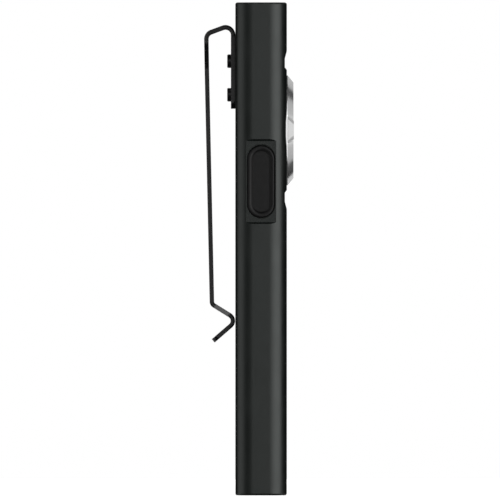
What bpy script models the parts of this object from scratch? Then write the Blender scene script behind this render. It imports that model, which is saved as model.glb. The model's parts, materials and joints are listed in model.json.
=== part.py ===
"""A slim, flat pocket flashlight with a turning brightness dial, a covered charging port and a spring clip.

The light stands on its tail: +Z runs from the tail face at z = 0 to the head, X is the body's thickness
with the dial on +X and the clip on -X, and Y is its width with the charging port on -Y. Units are metres.
"""

import math

import bmesh
import bpy
from mathutils import Vector

MM = 0.001

# Clearances
FIT = 0.3 * MM  # between a piece and what it is seated in
CLOSE_FIT = 0.1 * MM  # under screw heads, soldered parts and the clip's leg
RUNNING_FIT = 0.2 * MM  # round the dial and its spindle
REACH = 5 * MM  # how far a cutter runs past the surface it opens

# Body tube
BODY_LENGTH = 138.7 * MM
BODY_WIDTH = 35.0 * MM
BODY_THICKNESS = 14.5 * MM
CORNER_WIDE = 3.0 * MM  # a long corner's reach across the width
CORNER_DEEP = 5.0 * MM  # and its reach down the thickness
END_RADIUS = 0.6 * MM  # rounding of the tube's two ends
FACE_WALL = 1.6 * MM
SIDE_WALL = 2.2 * MM
CAVITY_RADIUS = 2.0 * MM

# Dial and its bearing
DIAL_DROP = 35.9 * MM  # from the head's face down to the dial's centre
DIAL_MARGIN = 2.05 * MM  # from the dial's rim to the body's sides
DIAL_FLANK = 2.0 * MM  # how far the sloping flank runs in
DIAL_LAND = 0.9 * MM  # flat ring between the flank and the dished face
DIAL_RIM_RISE = 0.24 * MM  # top of the upright rim above the body's face
DIAL_RISE = 1.87 * MM  # top of the dial above the body's face
DIAL_DISH_DEPTH = 0.57 * MM
DIAL_EDGE = 0.15 * MM  # broken edge under the rim
RECESS_DEPTH = 0.7 * MM
BAR_BASE_HALF_WIDTH = 3.1 * MM
BAR_TOP_HALF_WIDTH = 1.74 * MM
BAR_PROUD = 0.3 * MM  # how far the thumb bar's ends stand out of the flank
GROOVE_GAP = 1.45 * MM  # from the dial's rim to a groove, along the body
GROOVE_NEAR_RAMP = 0.7 * MM
GROOVE_FLOOR = 2.6 * MM
GROOVE_FAR_RAMP = 2.1 * MM
GROOVE_DEPTH = 0.56 * MM
SPINDLE_RADIUS = 1.9 * MM
SPINDLE_LENGTH = 4.9 * MM
SPINDLE_SOCKET_DEPTH = 1.25 * MM
SPINDLE_GROOVE_DEPTH = 0.5 * MM
SPINDLE_TIP = 0.5 * MM  # stub of spindle below its clip
BUSH_WALL = 0.6 * MM
BUSH_FLANGE_RADIUS = 4.4 * MM
BUSH_FLANGE_THICKNESS = 0.7 * MM
CLIP_RING_THICKNESS = 0.4 * MM
CLIP_RING_RADIUS = 3.4 * MM
CLIP_RING_SLOT = 1.6 * MM
WAVE_THICKNESS = 0.25 * MM
WAVE_HEIGHT = 0.08 * MM
WAVE_COUNT = 3
WAVE_WIDTH = 1.0 * MM
SEAL_RING_RADIUS = 4.4 * MM
SEAL_WIRE_RADIUS = 0.5 * MM
MAGNET_RADIUS = 2.0 * MM
MAGNET_THICKNESS = 0.85 * MM
MAGNET_INSET = 3.95 * MM  # from the top of the dial's flank to the magnet's axis

# Spring clip: corners of the strip's centre line, as drops below the head's face and stand-offs from the body
CLIP_THICKNESS = 1.15 * MM
CLIP_LEG_END_DROP = 29.8 * MM
CLIP_TOP_DROP = 6.2 * MM
CLIP_SHOULDER_DROP = 9.0 * MM
CLIP_SHOULDER_STAND_OFF = 8.25 * MM
CLIP_LOWER_BEND_DROP = 84.95 * MM
CLIP_LOWER_BEND_STAND_OFF = 6.6 * MM
CLIP_NOSE_DROP = 89.4 * MM
CLIP_TIP_DROP = 95.3 * MM
CLIP_TIP_STAND_OFF = 6.25 * MM
CLIP_TOP_BEND = 2.14 * MM
CLIP_SHOULDER_BEND = 2.05 * MM
CLIP_LOWER_BEND_RADIUS = 1.25 * MM
CLIP_NOSE_BEND = 1.86 * MM
CLIP_NOSE_GAP = 0.15 * MM  # from the nose to the body's face
CLIP_LEG_WIDTH = 10.0 * MM
CLIP_ARM_WIDTH = 7.0 * MM
CLIP_NOSE_WIDTH = 8.6 * MM
CLIP_TAPER_TOP_DROP = 11.7 * MM
CLIP_TAPER_END_DROP = 18.2 * MM
CLIP_END_ROUNDING = 1.5 * MM
CLIP_SCREW_DROP = 26.0 * MM  # to the lower screw
CLIP_SCREW_PITCH = 9.45 * MM
CLIP_SCREW_RADIUS = 1.0 * MM
CLIP_SCREW_HEAD_RADIUS = 1.85 * MM
CLIP_SCREW_HEAD_HEIGHT = 0.95 * MM
CLIP_SCREW_SOCKET_RADIUS = 0.8 * MM
CLIP_SCREW_SOCKET_DEPTH = 0.5 * MM
NUT_PLATE_THICKNESS = 1.5 * MM
NUT_PLATE_HALF_WIDTH = 4.5 * MM
NUT_PLATE_MARGIN = 2.25 * MM  # past each screw's centre

# Charging port and its rubber cover
PORT_DROP = 50.4 * MM  # from the head's face down to the port's centre
PORT_FLAT_BELOW = 1.6 * MM  # milled flat past the cover's lower end
PORT_FLAT_ABOVE = 1.3 * MM
PORT_FLAT_HALF_WIDTH = 4.25 * MM
COVER_LENGTH = 20.4 * MM
COVER_WIDTH = 7.5 * MM
COVER_THICKNESS = 0.9 * MM
COVER_PAD_RIM = 0.9 * MM
COVER_PAD_RISE = 0.15 * MM
COVER_HINGE_OFFSET = 3.65 * MM  # from the cover's lower end
COVER_STEM_OFFSET = 2.1 * MM
COVER_STEM_RADIUS = 0.9 * MM
COVER_BULB_RADIUS = 1.45 * MM
COVER_BULB_THICKNESS = 0.6 * MM
COVER_PLUG_HALF_LENGTH = 4.3 * MM
COVER_PLUG_HALF_WIDTH = 1.55 * MM
COVER_RECESS_DEPTH = 1.0 * MM
SOCKET_HOLE_MARGIN = 0.6 * MM  # round the cover's plug
SOCKET_HALF_LENGTH = 4.5 * MM
SOCKET_HALF_THICKNESS = 1.6 * MM
SOCKET_DEPTH = 7.3 * MM
SOCKET_SHELL = 0.3 * MM
SOCKET_TONGUE_HALF_LENGTH = 3.3 * MM
SOCKET_TONGUE_HALF_THICKNESS = 0.35 * MM

# Tail
TAIL_CAP_THICKNESS = 3.0 * MM
TAIL_GASKET_THICKNESS = 0.8 * MM
TAIL_GASKET_WIDTH = 1.4 * MM
TAIL_SCREW_INSET = 5.5 * MM  # from the end plug's side
TAIL_SCREW_RADIUS = 1.0 * MM
TAIL_SCREW_HEAD_RADIUS = 1.8 * MM
TAIL_SCREW_HEAD_HEIGHT = 1.2 * MM
TAIL_SCREW_LENGTH = 5.2 * MM

# Chassis, battery and control board
TAIL_BULKHEAD = 3.8 * MM
MID_BULKHEAD = 2.0 * MM
CHASSIS_FLOOR = 0.8 * MM
CHASSIS_RAIL = 1.4 * MM
BATTERY_PAD_THICKNESS = 1.0 * MM
BATTERY_EDGE_RADIUS = 1.6 * MM
CELL_BOARD_THICKNESS = 0.8 * MM
CELL_BOARD_ROOM = 3.0 * MM  # above the cell, for its board and the leads
BOARD_THICKNESS = 1.0 * MM
BOARD_LENGTH = 48.5 * MM
BOARD_SIDE_GAP = 0.7 * MM  # from the board's edge to the tube
BOARD_SCREW_SIDE_INSET = 4.5 * MM  # from the chassis's side
BOARD_SCREW_INSET = 3.9 * MM  # from the mid bulkhead to the lower screws
BOARD_SCREW_PITCH = 26.8 * MM
BOARD_SCREW_RADIUS = 0.7 * MM
BOARD_SCREW_HEAD_RADIUS = 1.3 * MM
BOARD_SCREW_HEAD_HEIGHT = 0.6 * MM
BOARD_SCREW_DEPTH = 1.4 * MM  # of thread in its boss
BOARD_BOSS_RADIUS = 1.9 * MM
LEAD_NOTCH_HALF_WIDTH = 4.0 * MM
BATTERY_LEAD_DIAMETER = 1.2 * MM
BATTERY_LEAD_Y = 1.5 * MM
CONNECTOR_SIZE = (3.4 * MM, 6.4 * MM, 4.0 * MM)
CONNECTOR_INSET = 2.9 * MM  # from the mid bulkhead to its near side
INDUCTOR_SIZE = (3.0 * MM, 6.0 * MM, 6.0 * MM)
CHIP_SIZE = (0.9 * MM, 5.0 * MM, 5.0 * MM)
SENSOR_SIZE = (0.9 * MM, 2.0 * MM, 2.6 * MM)
COMPONENT_Y = 7.0 * MM  # the inductor and the chip, off the middle line

# Head
BEZEL_THICKNESS = 2.7 * MM
BEZEL_LIP = 0.6 * MM
BEZEL_OVERLAP = 0.4 * MM  # of the lip over the lens
OPTIC_RADIUS = 3.8 * MM
OPTIC_MARGIN_Y = 0.3 * MM  # of the flange past the outer lenses
OPTIC_MARGIN_X = 0.5 * MM
OPTIC_FLANGE_THICKNESS = 1.0 * MM
OPTIC_FOOT_RADIUS = 2.5 * MM
OPTIC_POCKET_DEPTH = 1.2 * MM
LENS_THICKNESS = 1.0 * MM
LENS_GASKET_THICKNESS = 0.6 * MM
LENS_GASKET_WIDTH = 0.6 * MM
HOLDER_HEIGHT = 6.0 * MM
HOLDER_LEDGE = 1.1 * MM
HOLDER_LEDGE_WIDTH = 0.55 * MM
SPREADER_THICKNESS = 4.4 * MM
LED_BOARD_THICKNESS = 1.0 * MM
LED_HALF_SIZE = 1.3 * MM
LED_HEIGHT = 0.7 * MM
LED_COUNT = 3
LENS_CORNER_RADIUS = 3.6 * MM
BEZEL_SCREW_INSET = 1.2 * MM  # from the bezel's end
BEZEL_SCREW_TO_LENS = 1.5 * MM
BEZEL_SCREW_RADIUS = 0.6 * MM
BEZEL_SCREW_HEAD_RADIUS = 0.9 * MM
BEZEL_SCREW_HEAD_HEIGHT = 0.7 * MM
BEZEL_SCREW_SINK = 0.15 * MM
BEZEL_SCREW_THREAD = 3.2 * MM  # in the heat spreader
LED_LEAD_DIAMETER = 1.0 * MM
LED_LEAD_REACH = 4.5 * MM  # of lead that lies on the control board
BOARD_END_GAP = 1.5 * MM  # from the control board to the heat spreader

# Facets
CORNER_STEPS = 8
INNER_CORNER_STEPS = 4
ROUND_STEPS = 24
SMALL_STEPS = 16
BEND_STEPS = 6  # of each bend in the clip's strip
DIAL_STEPS = 72

# Planes that the sizes above set
HALF_X = BODY_THICKNESS / 2
HALF_Y = BODY_WIDTH / 2
CAVITY_X = HALF_X - FACE_WALL
CAVITY_Y = HALF_Y - SIDE_WALL
PLUG_X = CAVITY_X - FIT
PLUG_Y = CAVITY_Y - FIT
PLUG_RADIUS = CAVITY_RADIUS - FIT
DIAL_CENTRE_Z = BODY_LENGTH - DIAL_DROP
DIAL_RADIUS = HALF_Y - DIAL_MARGIN
DIAL_TOP_RADIUS = DIAL_RADIUS - DIAL_FLANK
MAGNET_OFFSET = DIAL_TOP_RADIUS - MAGNET_INSET
GROOVE_INNER_EDGE = DIAL_RADIUS + GROOVE_GAP
GROOVE_FLOOR_START = GROOVE_INNER_EDGE + GROOVE_NEAR_RAMP
GROOVE_FLOOR_END = GROOVE_FLOOR_START + GROOVE_FLOOR
GROOVE_OUTER_EDGE = GROOVE_FLOOR_END + GROOVE_FAR_RAMP
RECESS_X = HALF_X - RECESS_DEPTH
DIAL_BASE_X = RECESS_X + FIT
DIAL_TOP_X = HALF_X + DIAL_RISE
DISH_X = DIAL_TOP_X - DIAL_DISH_DEPTH
PORT_Z = BODY_LENGTH - PORT_DROP
PORT_FLAT_LOW_Z = PORT_Z - COVER_LENGTH / 2 - PORT_FLAT_BELOW
PORT_FLAT_HIGH_Z = PORT_Z + COVER_LENGTH / 2 + PORT_FLAT_ABOVE
PORT_FLAT_Y = HALF_Y - CORNER_WIDE * (
    1 - math.sqrt(1 - ((PORT_FLAT_HALF_WIDTH - (HALF_X - CORNER_DEEP)) / CORNER_DEEP) ** 2)
)
COVER_RECESS_Y = PORT_FLAT_Y - COVER_RECESS_DEPTH
COVER_INNER_Y = COVER_RECESS_Y + CLOSE_FIT
COVER_LOW_Z = PORT_Z - COVER_LENGTH / 2
COVER_HINGE_Z = COVER_LOW_Z + COVER_HINGE_OFFSET
SOCKET_MOUTH_Y = CAVITY_Y - FIT
BOARD_X = -(SOCKET_HALF_THICKNESS + CLOSE_FIT)  # the board's component side
BOARD_BACK_X = BOARD_X - BOARD_THICKNESS
RAIL_X = BOARD_BACK_X - FIT  # top of the rails under the board
FLOOR_X = -PLUG_X + CHASSIS_FLOOR
TAIL_GASKET_Z = TAIL_CAP_THICKNESS + CLOSE_FIT
CHASSIS_Z = TAIL_GASKET_Z + TAIL_GASKET_THICKNESS + CLOSE_FIT
BATTERY_BAY_Z = CHASSIS_Z + TAIL_BULKHEAD
BATTERY_Z = BATTERY_BAY_Z + FIT
BEZEL_Z = BODY_LENGTH - BEZEL_THICKNESS
HOLDER_Z = BEZEL_Z - FIT - HOLDER_HEIGHT
SPREADER_Z = HOLDER_Z - FIT - SPREADER_THICKNESS
BOARD_TOP_Z = SPREADER_Z - BOARD_END_GAP
BOARD_Z = BOARD_TOP_Z - BOARD_LENGTH
BOARD_BAY_Z = BOARD_Z - FIT
MID_BULKHEAD_Z = BOARD_BAY_Z - MID_BULKHEAD
BATTERY_TOP_Z = MID_BULKHEAD_Z - CELL_BOARD_ROOM
TAIL_SCREW_Y = PLUG_Y - TAIL_SCREW_INSET
BOARD_SCREW_Y = PLUG_Y - BOARD_SCREW_SIDE_INSET
BEZEL_SCREW_Y = PLUG_Y - BEZEL_SCREW_INSET
LENS_X = OPTIC_RADIUS + OPTIC_MARGIN_X
LENS_Y = BEZEL_SCREW_Y - BEZEL_SCREW_TO_LENS
LENS_Z = BODY_LENGTH - BEZEL_LIP - FIT - LENS_THICKNESS
OPTIC_PITCH = 2 * (LENS_Y - OPTIC_MARGIN_Y - OPTIC_RADIUS) / (LED_COUNT - 1)
CLIP_SCREW_Z = (BODY_LENGTH - CLIP_SCREW_DROP, BODY_LENGTH - CLIP_SCREW_DROP + CLIP_SCREW_PITCH)
CLIP_SHOULDER = (-HALF_X - CLIP_SHOULDER_STAND_OFF, BODY_LENGTH - CLIP_SHOULDER_DROP)
CLIP_LOWER_BEND = (-HALF_X - CLIP_LOWER_BEND_STAND_OFF, BODY_LENGTH - CLIP_LOWER_BEND_DROP)
CLIP_NOSE_Z = BODY_LENGTH - CLIP_NOSE_DROP
CLIP_TIP = (-HALF_X - CLIP_TIP_STAND_OFF, BODY_LENGTH - CLIP_TIP_DROP)
NUT_PLATE_LOW_Z = CLIP_SCREW_Z[0] - NUT_PLATE_MARGIN
NUT_PLATE_HIGH_Z = CLIP_SCREW_Z[1] + NUT_PLATE_MARGIN
CLIP_LEG_X = -(HALF_X + CLOSE_FIT + CLIP_THICKNESS / 2)
CLIP_LEG_OUTER_X = CLIP_LEG_X - CLIP_THICKNESS / 2


def clear_scene():
    """Removes every object that the file started with."""
    for thing in list(bpy.data.objects):
        bpy.data.objects.remove(thing, do_unlink=True)


def make_material(name, colour, roughness, metallic=0.0, transmission=0.0):
    """A Principled material with one colour."""
    material = bpy.data.materials.new(name)
    material.use_nodes = True
    shader = material.node_tree.nodes["Principled BSDF"]
    shader.inputs["Base Color"].default_value = (*colour, 1.0)
    shader.inputs["Roughness"].default_value = roughness
    shader.inputs["Metallic"].default_value = metallic
    shader.inputs["Transmission Weight"].default_value = transmission
    return material


def add_object(name, bm, material):
    """Turns a closed bmesh into a shaded object with its faces pointing out."""
    bmesh.ops.recalc_face_normals(bm, faces=bm.faces)
    mesh = bpy.data.meshes.new(name)
    bm.to_mesh(mesh)
    bm.free()
    mesh.shade_smooth()
    mesh.set_sharp_from_angle(angle=math.radians(30))
    thing = bpy.data.objects.new(name, mesh)
    bpy.context.scene.collection.objects.link(thing)
    if material:
        mesh.materials.append(material)
    return thing


def place(axis, a, b, height):
    """A point from two cross-axis values, in X, Y, Z order, and one along the axis."""
    return {"X": (height, a, b), "Y": (a, height, b), "Z": (a, b, height)}[axis]


def loft(rings, closed_ends=True):
    """A bmesh skin over rings of equally many points, capped at both ends or joined into a loop."""
    bm = bmesh.new()
    rows = [[bm.verts.new(point) for point in ring] for ring in rings]
    pairs = list(zip(rows, rows[1:]))
    if not closed_ends:
        pairs.append((rows[-1], rows[0]))
    for lower, upper in pairs:
        for i in range(len(lower)):
            j = (i + 1) % len(lower)
            bm.faces.new((lower[i], lower[j], upper[j], upper[i]))
    if closed_ends:
        bm.faces.new(rows[0])
        bm.faces.new(rows[-1])
    return bm


def prism(outline, axis, low, high):
    """A straight extrusion of an outline along an axis."""
    return loft([[place(axis, a, b, height) for a, b in outline] for height in (low, high)])


def rounded_outline(half_a, half_b, corner_a, corner_b=None, steps=INNER_CORNER_STEPS):
    """A rectangle's outline with round or elliptical corners."""
    corner_b = corner_a if corner_b is None else corner_b
    points = []
    for quarter, (side_a, side_b) in enumerate(((1, 1), (-1, 1), (-1, -1), (1, -1))):
        for step in range(steps + 1):
            angle = math.pi / 2 * (quarter + step / steps)
            points.append(
                (
                    side_a * (half_a - corner_a) + corner_a * math.cos(angle),
                    side_b * (half_b - corner_b) + corner_b * math.sin(angle),
                )
            )
    return points


def slot_outline(half_a, half_b, centre_b=0.0, steps=SMALL_STEPS // 2):
    """A slot with round ends, longer along its second axis."""
    points = []
    for end in (1, -1):
        for step in range(steps + 1):
            angle = math.pi * step / steps
            points.append(
                (
                    end * half_a * math.cos(angle),
                    centre_b + end * (half_b - half_a) + end * half_a * math.sin(angle),
                )
            )
    return points


def rectangle(low_a, high_a, low_b, high_b):
    """A rectangle's four corners."""
    return [(low_a, low_b), (high_a, low_b), (high_a, high_b), (low_a, high_b)]


def block(low, high):
    """A box between two corners."""
    return prism(rectangle(low[0], high[0], low[1], high[1]), "Z", low[2], high[2])


def turned(profile, axis, centre, steps=ROUND_STEPS, ring=False):
    """Turns (radius, height) points about an axis. A ring's profile is a loop, and others get flat ends."""
    rings = []
    for radius, height in profile:
        row = []
        for i in range(steps):
            angle = 2 * math.pi * i / steps
            a = centre[0] + radius * math.cos(angle)
            b = centre[1] + radius * math.sin(angle)
            row.append(place(axis, a, b, height))
        rings.append(row)
    return loft(rings, closed_ends=not ring)


def rod(radius, axis, centre, low, high, steps=SMALL_STEPS):
    """A plain cylinder along an axis."""
    return turned([(radius, low), (radius, high)], axis, centre, steps)


def combine(target, bm, operation, label, solver="EXACT"):
    """Cuts or adds a helper shape with a Boolean modifier."""
    helper = add_object(f"{target.name}_{label}", bm, None)
    helper.hide_render = True
    helper.display_type = "WIRE"
    modifier = target.modifiers.new(label, "BOOLEAN")
    modifier.operation = operation
    modifier.solver = solver
    modifier.object = helper
    return helper


def cut(target, label, bm):
    """Takes a helper shape out of an object."""
    return combine(target, bm, "DIFFERENCE", label)


def join(target, label, bm):
    """Adds a helper shape to an object."""
    return combine(target, bm, "UNION", label)


def smooth_route(points, spacing):
    """Points at an even spacing on a smooth curve through the given ones."""
    ends = [2 * points[0] - points[1], *points, 2 * points[-1] - points[-2]]
    dense = []
    for before, start, end, after in zip(ends, ends[1:], ends[2:], ends[3:]):
        for step in range(20):
            t = step / 20
            dense.append(
                0.5
                * (
                    2 * start
                    + (end - before) * t
                    + (2 * before - 5 * start + 4 * end - after) * t**2
                    + (3 * start - before - 3 * end + after) * t**3
                )
            )
    dense.append(points[-1])
    lengths = [0.0]
    for start, end in zip(dense, dense[1:]):
        lengths.append(lengths[-1] + (end - start).length)
    count = max(2, round(lengths[-1] / spacing))
    route = []
    for i in range(count + 1):
        distance = lengths[-1] * i / count
        k = max(n for n, length in enumerate(lengths[:-1]) if length <= distance + 1e-12)
        share = (distance - lengths[k]) / (lengths[k + 1] - lengths[k])
        route.append(dense[k].lerp(dense[k + 1], min(share, 1.0)))
    return route


def add_lead(name, points, diameter, material):
    """An insulated wire along a smooth route."""
    curve = bpy.data.curves.new(name, "CURVE")
    curve.dimensions = "3D"
    curve.bevel_depth = diameter / 2
    curve.bevel_resolution = 1
    curve.use_fill_caps = True
    route = smooth_route([Vector(point) for point in points], 2 * diameter)
    spline = curve.splines.new("POLY")
    spline.points.add(len(route) - 1)
    for target, point in zip(spline.points, route):
        target.co = (*point, 1.0)
    curve.materials.append(material)
    thing = bpy.data.objects.new(name, curve)
    bpy.context.scene.collection.objects.link(thing)
    return thing


def build_housing(material):
    """The extruded and milled tube, open at both ends."""
    rings = []
    arc = [math.pi / 2 * step / 3 for step in range(4)]
    insets = [(END_RADIUS * (1 - math.sin(angle)), END_RADIUS * (1 - math.cos(angle))) for angle in arc]
    ends = insets + [(inset, BODY_LENGTH - rise) for inset, rise in reversed(insets)]
    for inset, height in ends:
        outline = rounded_outline(
            HALF_X - inset, HALF_Y - inset, CORNER_DEEP - inset, CORNER_WIDE - inset, CORNER_STEPS
        )
        rings.append([(a, b, height) for a, b in outline])
    housing = add_object("housing", loft(rings), material)
    bore = rounded_outline(CAVITY_X, CAVITY_Y, CAVITY_RADIUS)
    cut(housing, "bore", prism(bore, "Z", -REACH, BODY_LENGTH + REACH))
    cut_dial_seat(housing)
    cut_port(housing)
    for i, height in enumerate(CLIP_SCREW_Z):
        hole = rod(CLIP_SCREW_RADIUS + FIT, "X", (0, height), -HALF_X - REACH, -CAVITY_X + CLOSE_FIT)
        cut(housing, f"clip_screw_hole_{i + 1}", hole)
    return housing


def cut_dial_seat(housing):
    """The dial's round recess, its spindle hole, and a thumb groove above and below it."""
    centre = (0, DIAL_CENTRE_Z)
    seat = rod(DIAL_RADIUS + RUNNING_FIT, "X", centre, RECESS_X, HALF_X + REACH, DIAL_STEPS)
    cut(housing, "dial_recess", seat)
    hole_radius = SPINDLE_RADIUS + RUNNING_FIT + BUSH_WALL + FIT
    cut(housing, "spindle_hole", rod(hole_radius, "X", centre, 0, HALF_X, ROUND_STEPS))
    for label, side in (("upper", 1), ("lower", -1)):
        section = [
            (HALF_X + REACH, GROOVE_INNER_EDGE),
            (HALF_X, GROOVE_INNER_EDGE),
            (HALF_X - GROOVE_DEPTH, GROOVE_FLOOR_START),
            (HALF_X - GROOVE_DEPTH, GROOVE_FLOOR_END),
            (HALF_X, GROOVE_OUTER_EDGE),
            (HALF_X + REACH, GROOVE_OUTER_EDGE),
        ]
        section = [(a, DIAL_CENTRE_Z + side * b) for a, b in section]
        cut(housing, f"{label}_groove", prism(section, "Y", -HALF_Y - REACH, HALF_Y + REACH))


def cut_port(housing):
    """The milled flat on the -Y side, the cover's recess, the socket's hole and the anchor's hole."""
    flat = rectangle(-HALF_X, HALF_X, PORT_FLAT_LOW_Z, PORT_FLAT_HIGH_Z)
    cut(housing, "port_flat", prism(flat, "Y", -HALF_Y - REACH, -PORT_FLAT_Y))
    recess = slot_outline(COVER_WIDTH / 2 + FIT, COVER_LENGTH / 2 + FIT, PORT_Z)
    cut(housing, "cover_recess", prism(recess, "Y", -HALF_Y - REACH, -COVER_RECESS_Y))
    hole = slot_outline(
        COVER_PLUG_HALF_WIDTH + SOCKET_HOLE_MARGIN, COVER_PLUG_HALF_LENGTH + SOCKET_HOLE_MARGIN, PORT_Z
    )
    cut(housing, "socket_hole", prism(hole, "Y", -HALF_Y - REACH, -CAVITY_Y + CLOSE_FIT))
    stem_z = COVER_LOW_Z + COVER_STEM_OFFSET
    stem = rod(COVER_STEM_RADIUS + FIT, "Y", (0, stem_z), -HALF_Y - REACH, -CAVITY_Y + CLOSE_FIT)
    cut(housing, "anchor_hole", stem)


def build_dial(material):
    """The turning dial: a cone-sided disc with a dished face and a thumb bar across it."""
    centre = (0, DIAL_CENTRE_Z)
    rim_x = HALF_X + DIAL_RIM_RISE
    dish_radius = DIAL_TOP_RADIUS - DIAL_LAND
    profile = [
        (DIAL_RADIUS - DIAL_EDGE, DIAL_BASE_X),
        (DIAL_RADIUS, DIAL_BASE_X + DIAL_EDGE),
        (DIAL_RADIUS, rim_x),
        (DIAL_TOP_RADIUS, DIAL_TOP_X),
        (dish_radius, DIAL_TOP_X),
        (dish_radius - DIAL_DISH_DEPTH, DISH_X),
    ]
    dial = add_object("dial", turned(profile, "X", centre, DIAL_STEPS), material)
    combine(dial, thumb_bar(centre, rim_x), "UNION", "thumb_bar", "MANIFOLD")
    socket = rod(SPINDLE_RADIUS + CLOSE_FIT, "X", centre, 0, DIAL_BASE_X + SPINDLE_SOCKET_DEPTH, ROUND_STEPS)
    cut(dial, "spindle_socket", socket)
    seal_room = SEAL_WIRE_RADIUS + RUNNING_FIT
    seal_top = RECESS_X + CLOSE_FIT + 2 * SEAL_WIRE_RADIUS + CLOSE_FIT
    groove = [
        (SEAL_RING_RADIUS - seal_room, 0),
        (SEAL_RING_RADIUS + seal_room, 0),
        (SEAL_RING_RADIUS + seal_room, seal_top),
        (SEAL_RING_RADIUS - seal_room, seal_top),
    ]
    cut(dial, "seal_groove", turned(groove, "X", centre, ROUND_STEPS, ring=True))
    pocket_top = DIAL_BASE_X + MAGNET_THICKNESS + 2 * CLOSE_FIT
    magnet_centre = (0, DIAL_CENTRE_Z + MAGNET_OFFSET)
    cut(dial, "magnet_pocket", rod(MAGNET_RADIUS + FIT, "X", magnet_centre, 0, pocket_top, ROUND_STEPS))
    return dial


def thumb_bar(centre, rim_x):
    """A bar with sloping sides across the dial, whose ends stand just proud of the flank."""
    slope = (BAR_BASE_HALF_WIDTH - BAR_TOP_HALF_WIDTH) / (DIAL_TOP_X - rim_x)
    flank_slope = (DIAL_RADIUS - DIAL_TOP_RADIUS) / (DIAL_TOP_X - rim_x)
    top = DIAL_TOP_X + CLOSE_FIT
    sunk = rim_x + CLOSE_FIT
    rings = []
    for height in (sunk, top):
        half_width = BAR_TOP_HALF_WIDTH + slope * (DIAL_TOP_X - height)
        reach = DIAL_TOP_RADIUS + BAR_PROUD + flank_slope * (DIAL_TOP_X - height)
        rings.append(bar_ring(centre[1], half_width, reach, height))
    return loft(rings)


def bar_ring(centre_z, half_width, reach, height, steps=4):
    """The thumb bar's outline at one height: two straight sides and two ends round the dial's centre."""
    swing = math.asin(half_width / reach)
    points = []
    for end in (0, math.pi):
        for step in range(-steps, steps + 1):
            angle = end + swing * step / steps
            points.append((height, reach * math.cos(angle), centre_z + reach * math.sin(angle)))
    return points


def build_dial_bearing(brass, steel, rubber, magnet):
    """The spindle, its bush, the wave spring, the ring that holds them, the seal and the magnet."""
    centre = (0, DIAL_CENTRE_Z)
    top = DIAL_BASE_X + SPINDLE_SOCKET_DEPTH - CLOSE_FIT
    low = top - SPINDLE_LENGTH
    neck_low = low + SPINDLE_TIP
    neck_high = neck_low + CLIP_RING_THICKNESS + 2 * CLOSE_FIT
    neck = SPINDLE_RADIUS - SPINDLE_GROOVE_DEPTH
    profile = [
        (SPINDLE_RADIUS, low),
        (SPINDLE_RADIUS, neck_low),
        (neck, neck_low),
        (neck, neck_high),
        (SPINDLE_RADIUS, neck_high),
        (SPINDLE_RADIUS, top),
    ]
    add_object("dial_spindle", turned(profile, "X", centre), steel)
    ring_low = neck_low + CLOSE_FIT
    ring_high = ring_low + CLIP_RING_THICKNESS
    ring = [
        (neck + CLOSE_FIT, ring_low),
        (CLIP_RING_RADIUS, ring_low),
        (CLIP_RING_RADIUS, ring_high),
        (neck + CLOSE_FIT, ring_high),
    ]
    retainer = add_object("spindle_clip", turned(ring, "X", centre, ring=True), steel)
    half_slot = CLIP_RING_SLOT / 2
    slot = block((0, 0, DIAL_CENTRE_Z - half_slot), (HALF_X, REACH, DIAL_CENTRE_Z + half_slot))
    cut(retainer, "slot", slot)
    build_bush(centre, ring_high, brass, steel)
    turned_seal(centre, rubber)
    magnet_centre = (0, DIAL_CENTRE_Z + MAGNET_OFFSET)
    magnet_low = DIAL_BASE_X + CLOSE_FIT
    disc = rod(MAGNET_RADIUS, "X", magnet_centre, magnet_low, magnet_low + MAGNET_THICKNESS, ROUND_STEPS)
    add_object("dial_magnet", disc, magnet)


def build_bush(centre, ring_high, brass, steel):
    """The flanged bush in the wall, and the wave spring between it and the spindle's ring."""
    bore = SPINDLE_RADIUS + RUNNING_FIT
    flange_high = CAVITY_X - FIT
    flange_low = flange_high - BUSH_FLANGE_THICKNESS
    outer = bore + BUSH_WALL
    profile = [
        (bore, flange_low),
        (BUSH_FLANGE_RADIUS, flange_low),
        (BUSH_FLANGE_RADIUS, flange_high),
        (outer, flange_high),
        (outer, RECESS_X - CLOSE_FIT),
        (bore, RECESS_X - CLOSE_FIT),
    ]
    add_object("dial_bush", turned(profile, "X", centre, ring=True), brass)
    middle = (ring_high + flange_low) / 2
    rings = []
    for i in range(ROUND_STEPS):
        angle = 2 * math.pi * i / ROUND_STEPS
        height = middle + WAVE_HEIGHT * math.cos(WAVE_COUNT * angle)
        ring = []
        for radius, side in ((bore, -1), (bore + WAVE_WIDTH, -1), (bore + WAVE_WIDTH, 1), (bore, 1)):
            y = radius * math.cos(angle)
            z = DIAL_CENTRE_Z + radius * math.sin(angle)
            ring.append((height + side * WAVE_THICKNESS / 2, y, z))
        rings.append(ring)
    add_object("wave_spring", loft(rings, closed_ends=False), steel)


def turned_seal(centre, rubber):
    """The round seal ring under the dial."""
    middle = RECESS_X + CLOSE_FIT + SEAL_WIRE_RADIUS
    steps = 8
    circle = [2 * math.pi * i / steps for i in range(steps)]
    section = [
        (SEAL_RING_RADIUS + SEAL_WIRE_RADIUS * math.cos(angle), middle + SEAL_WIRE_RADIUS * math.sin(angle))
        for angle in circle
    ]
    add_object("dial_seal", turned(section, "X", centre, ring=True), rubber)


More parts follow.
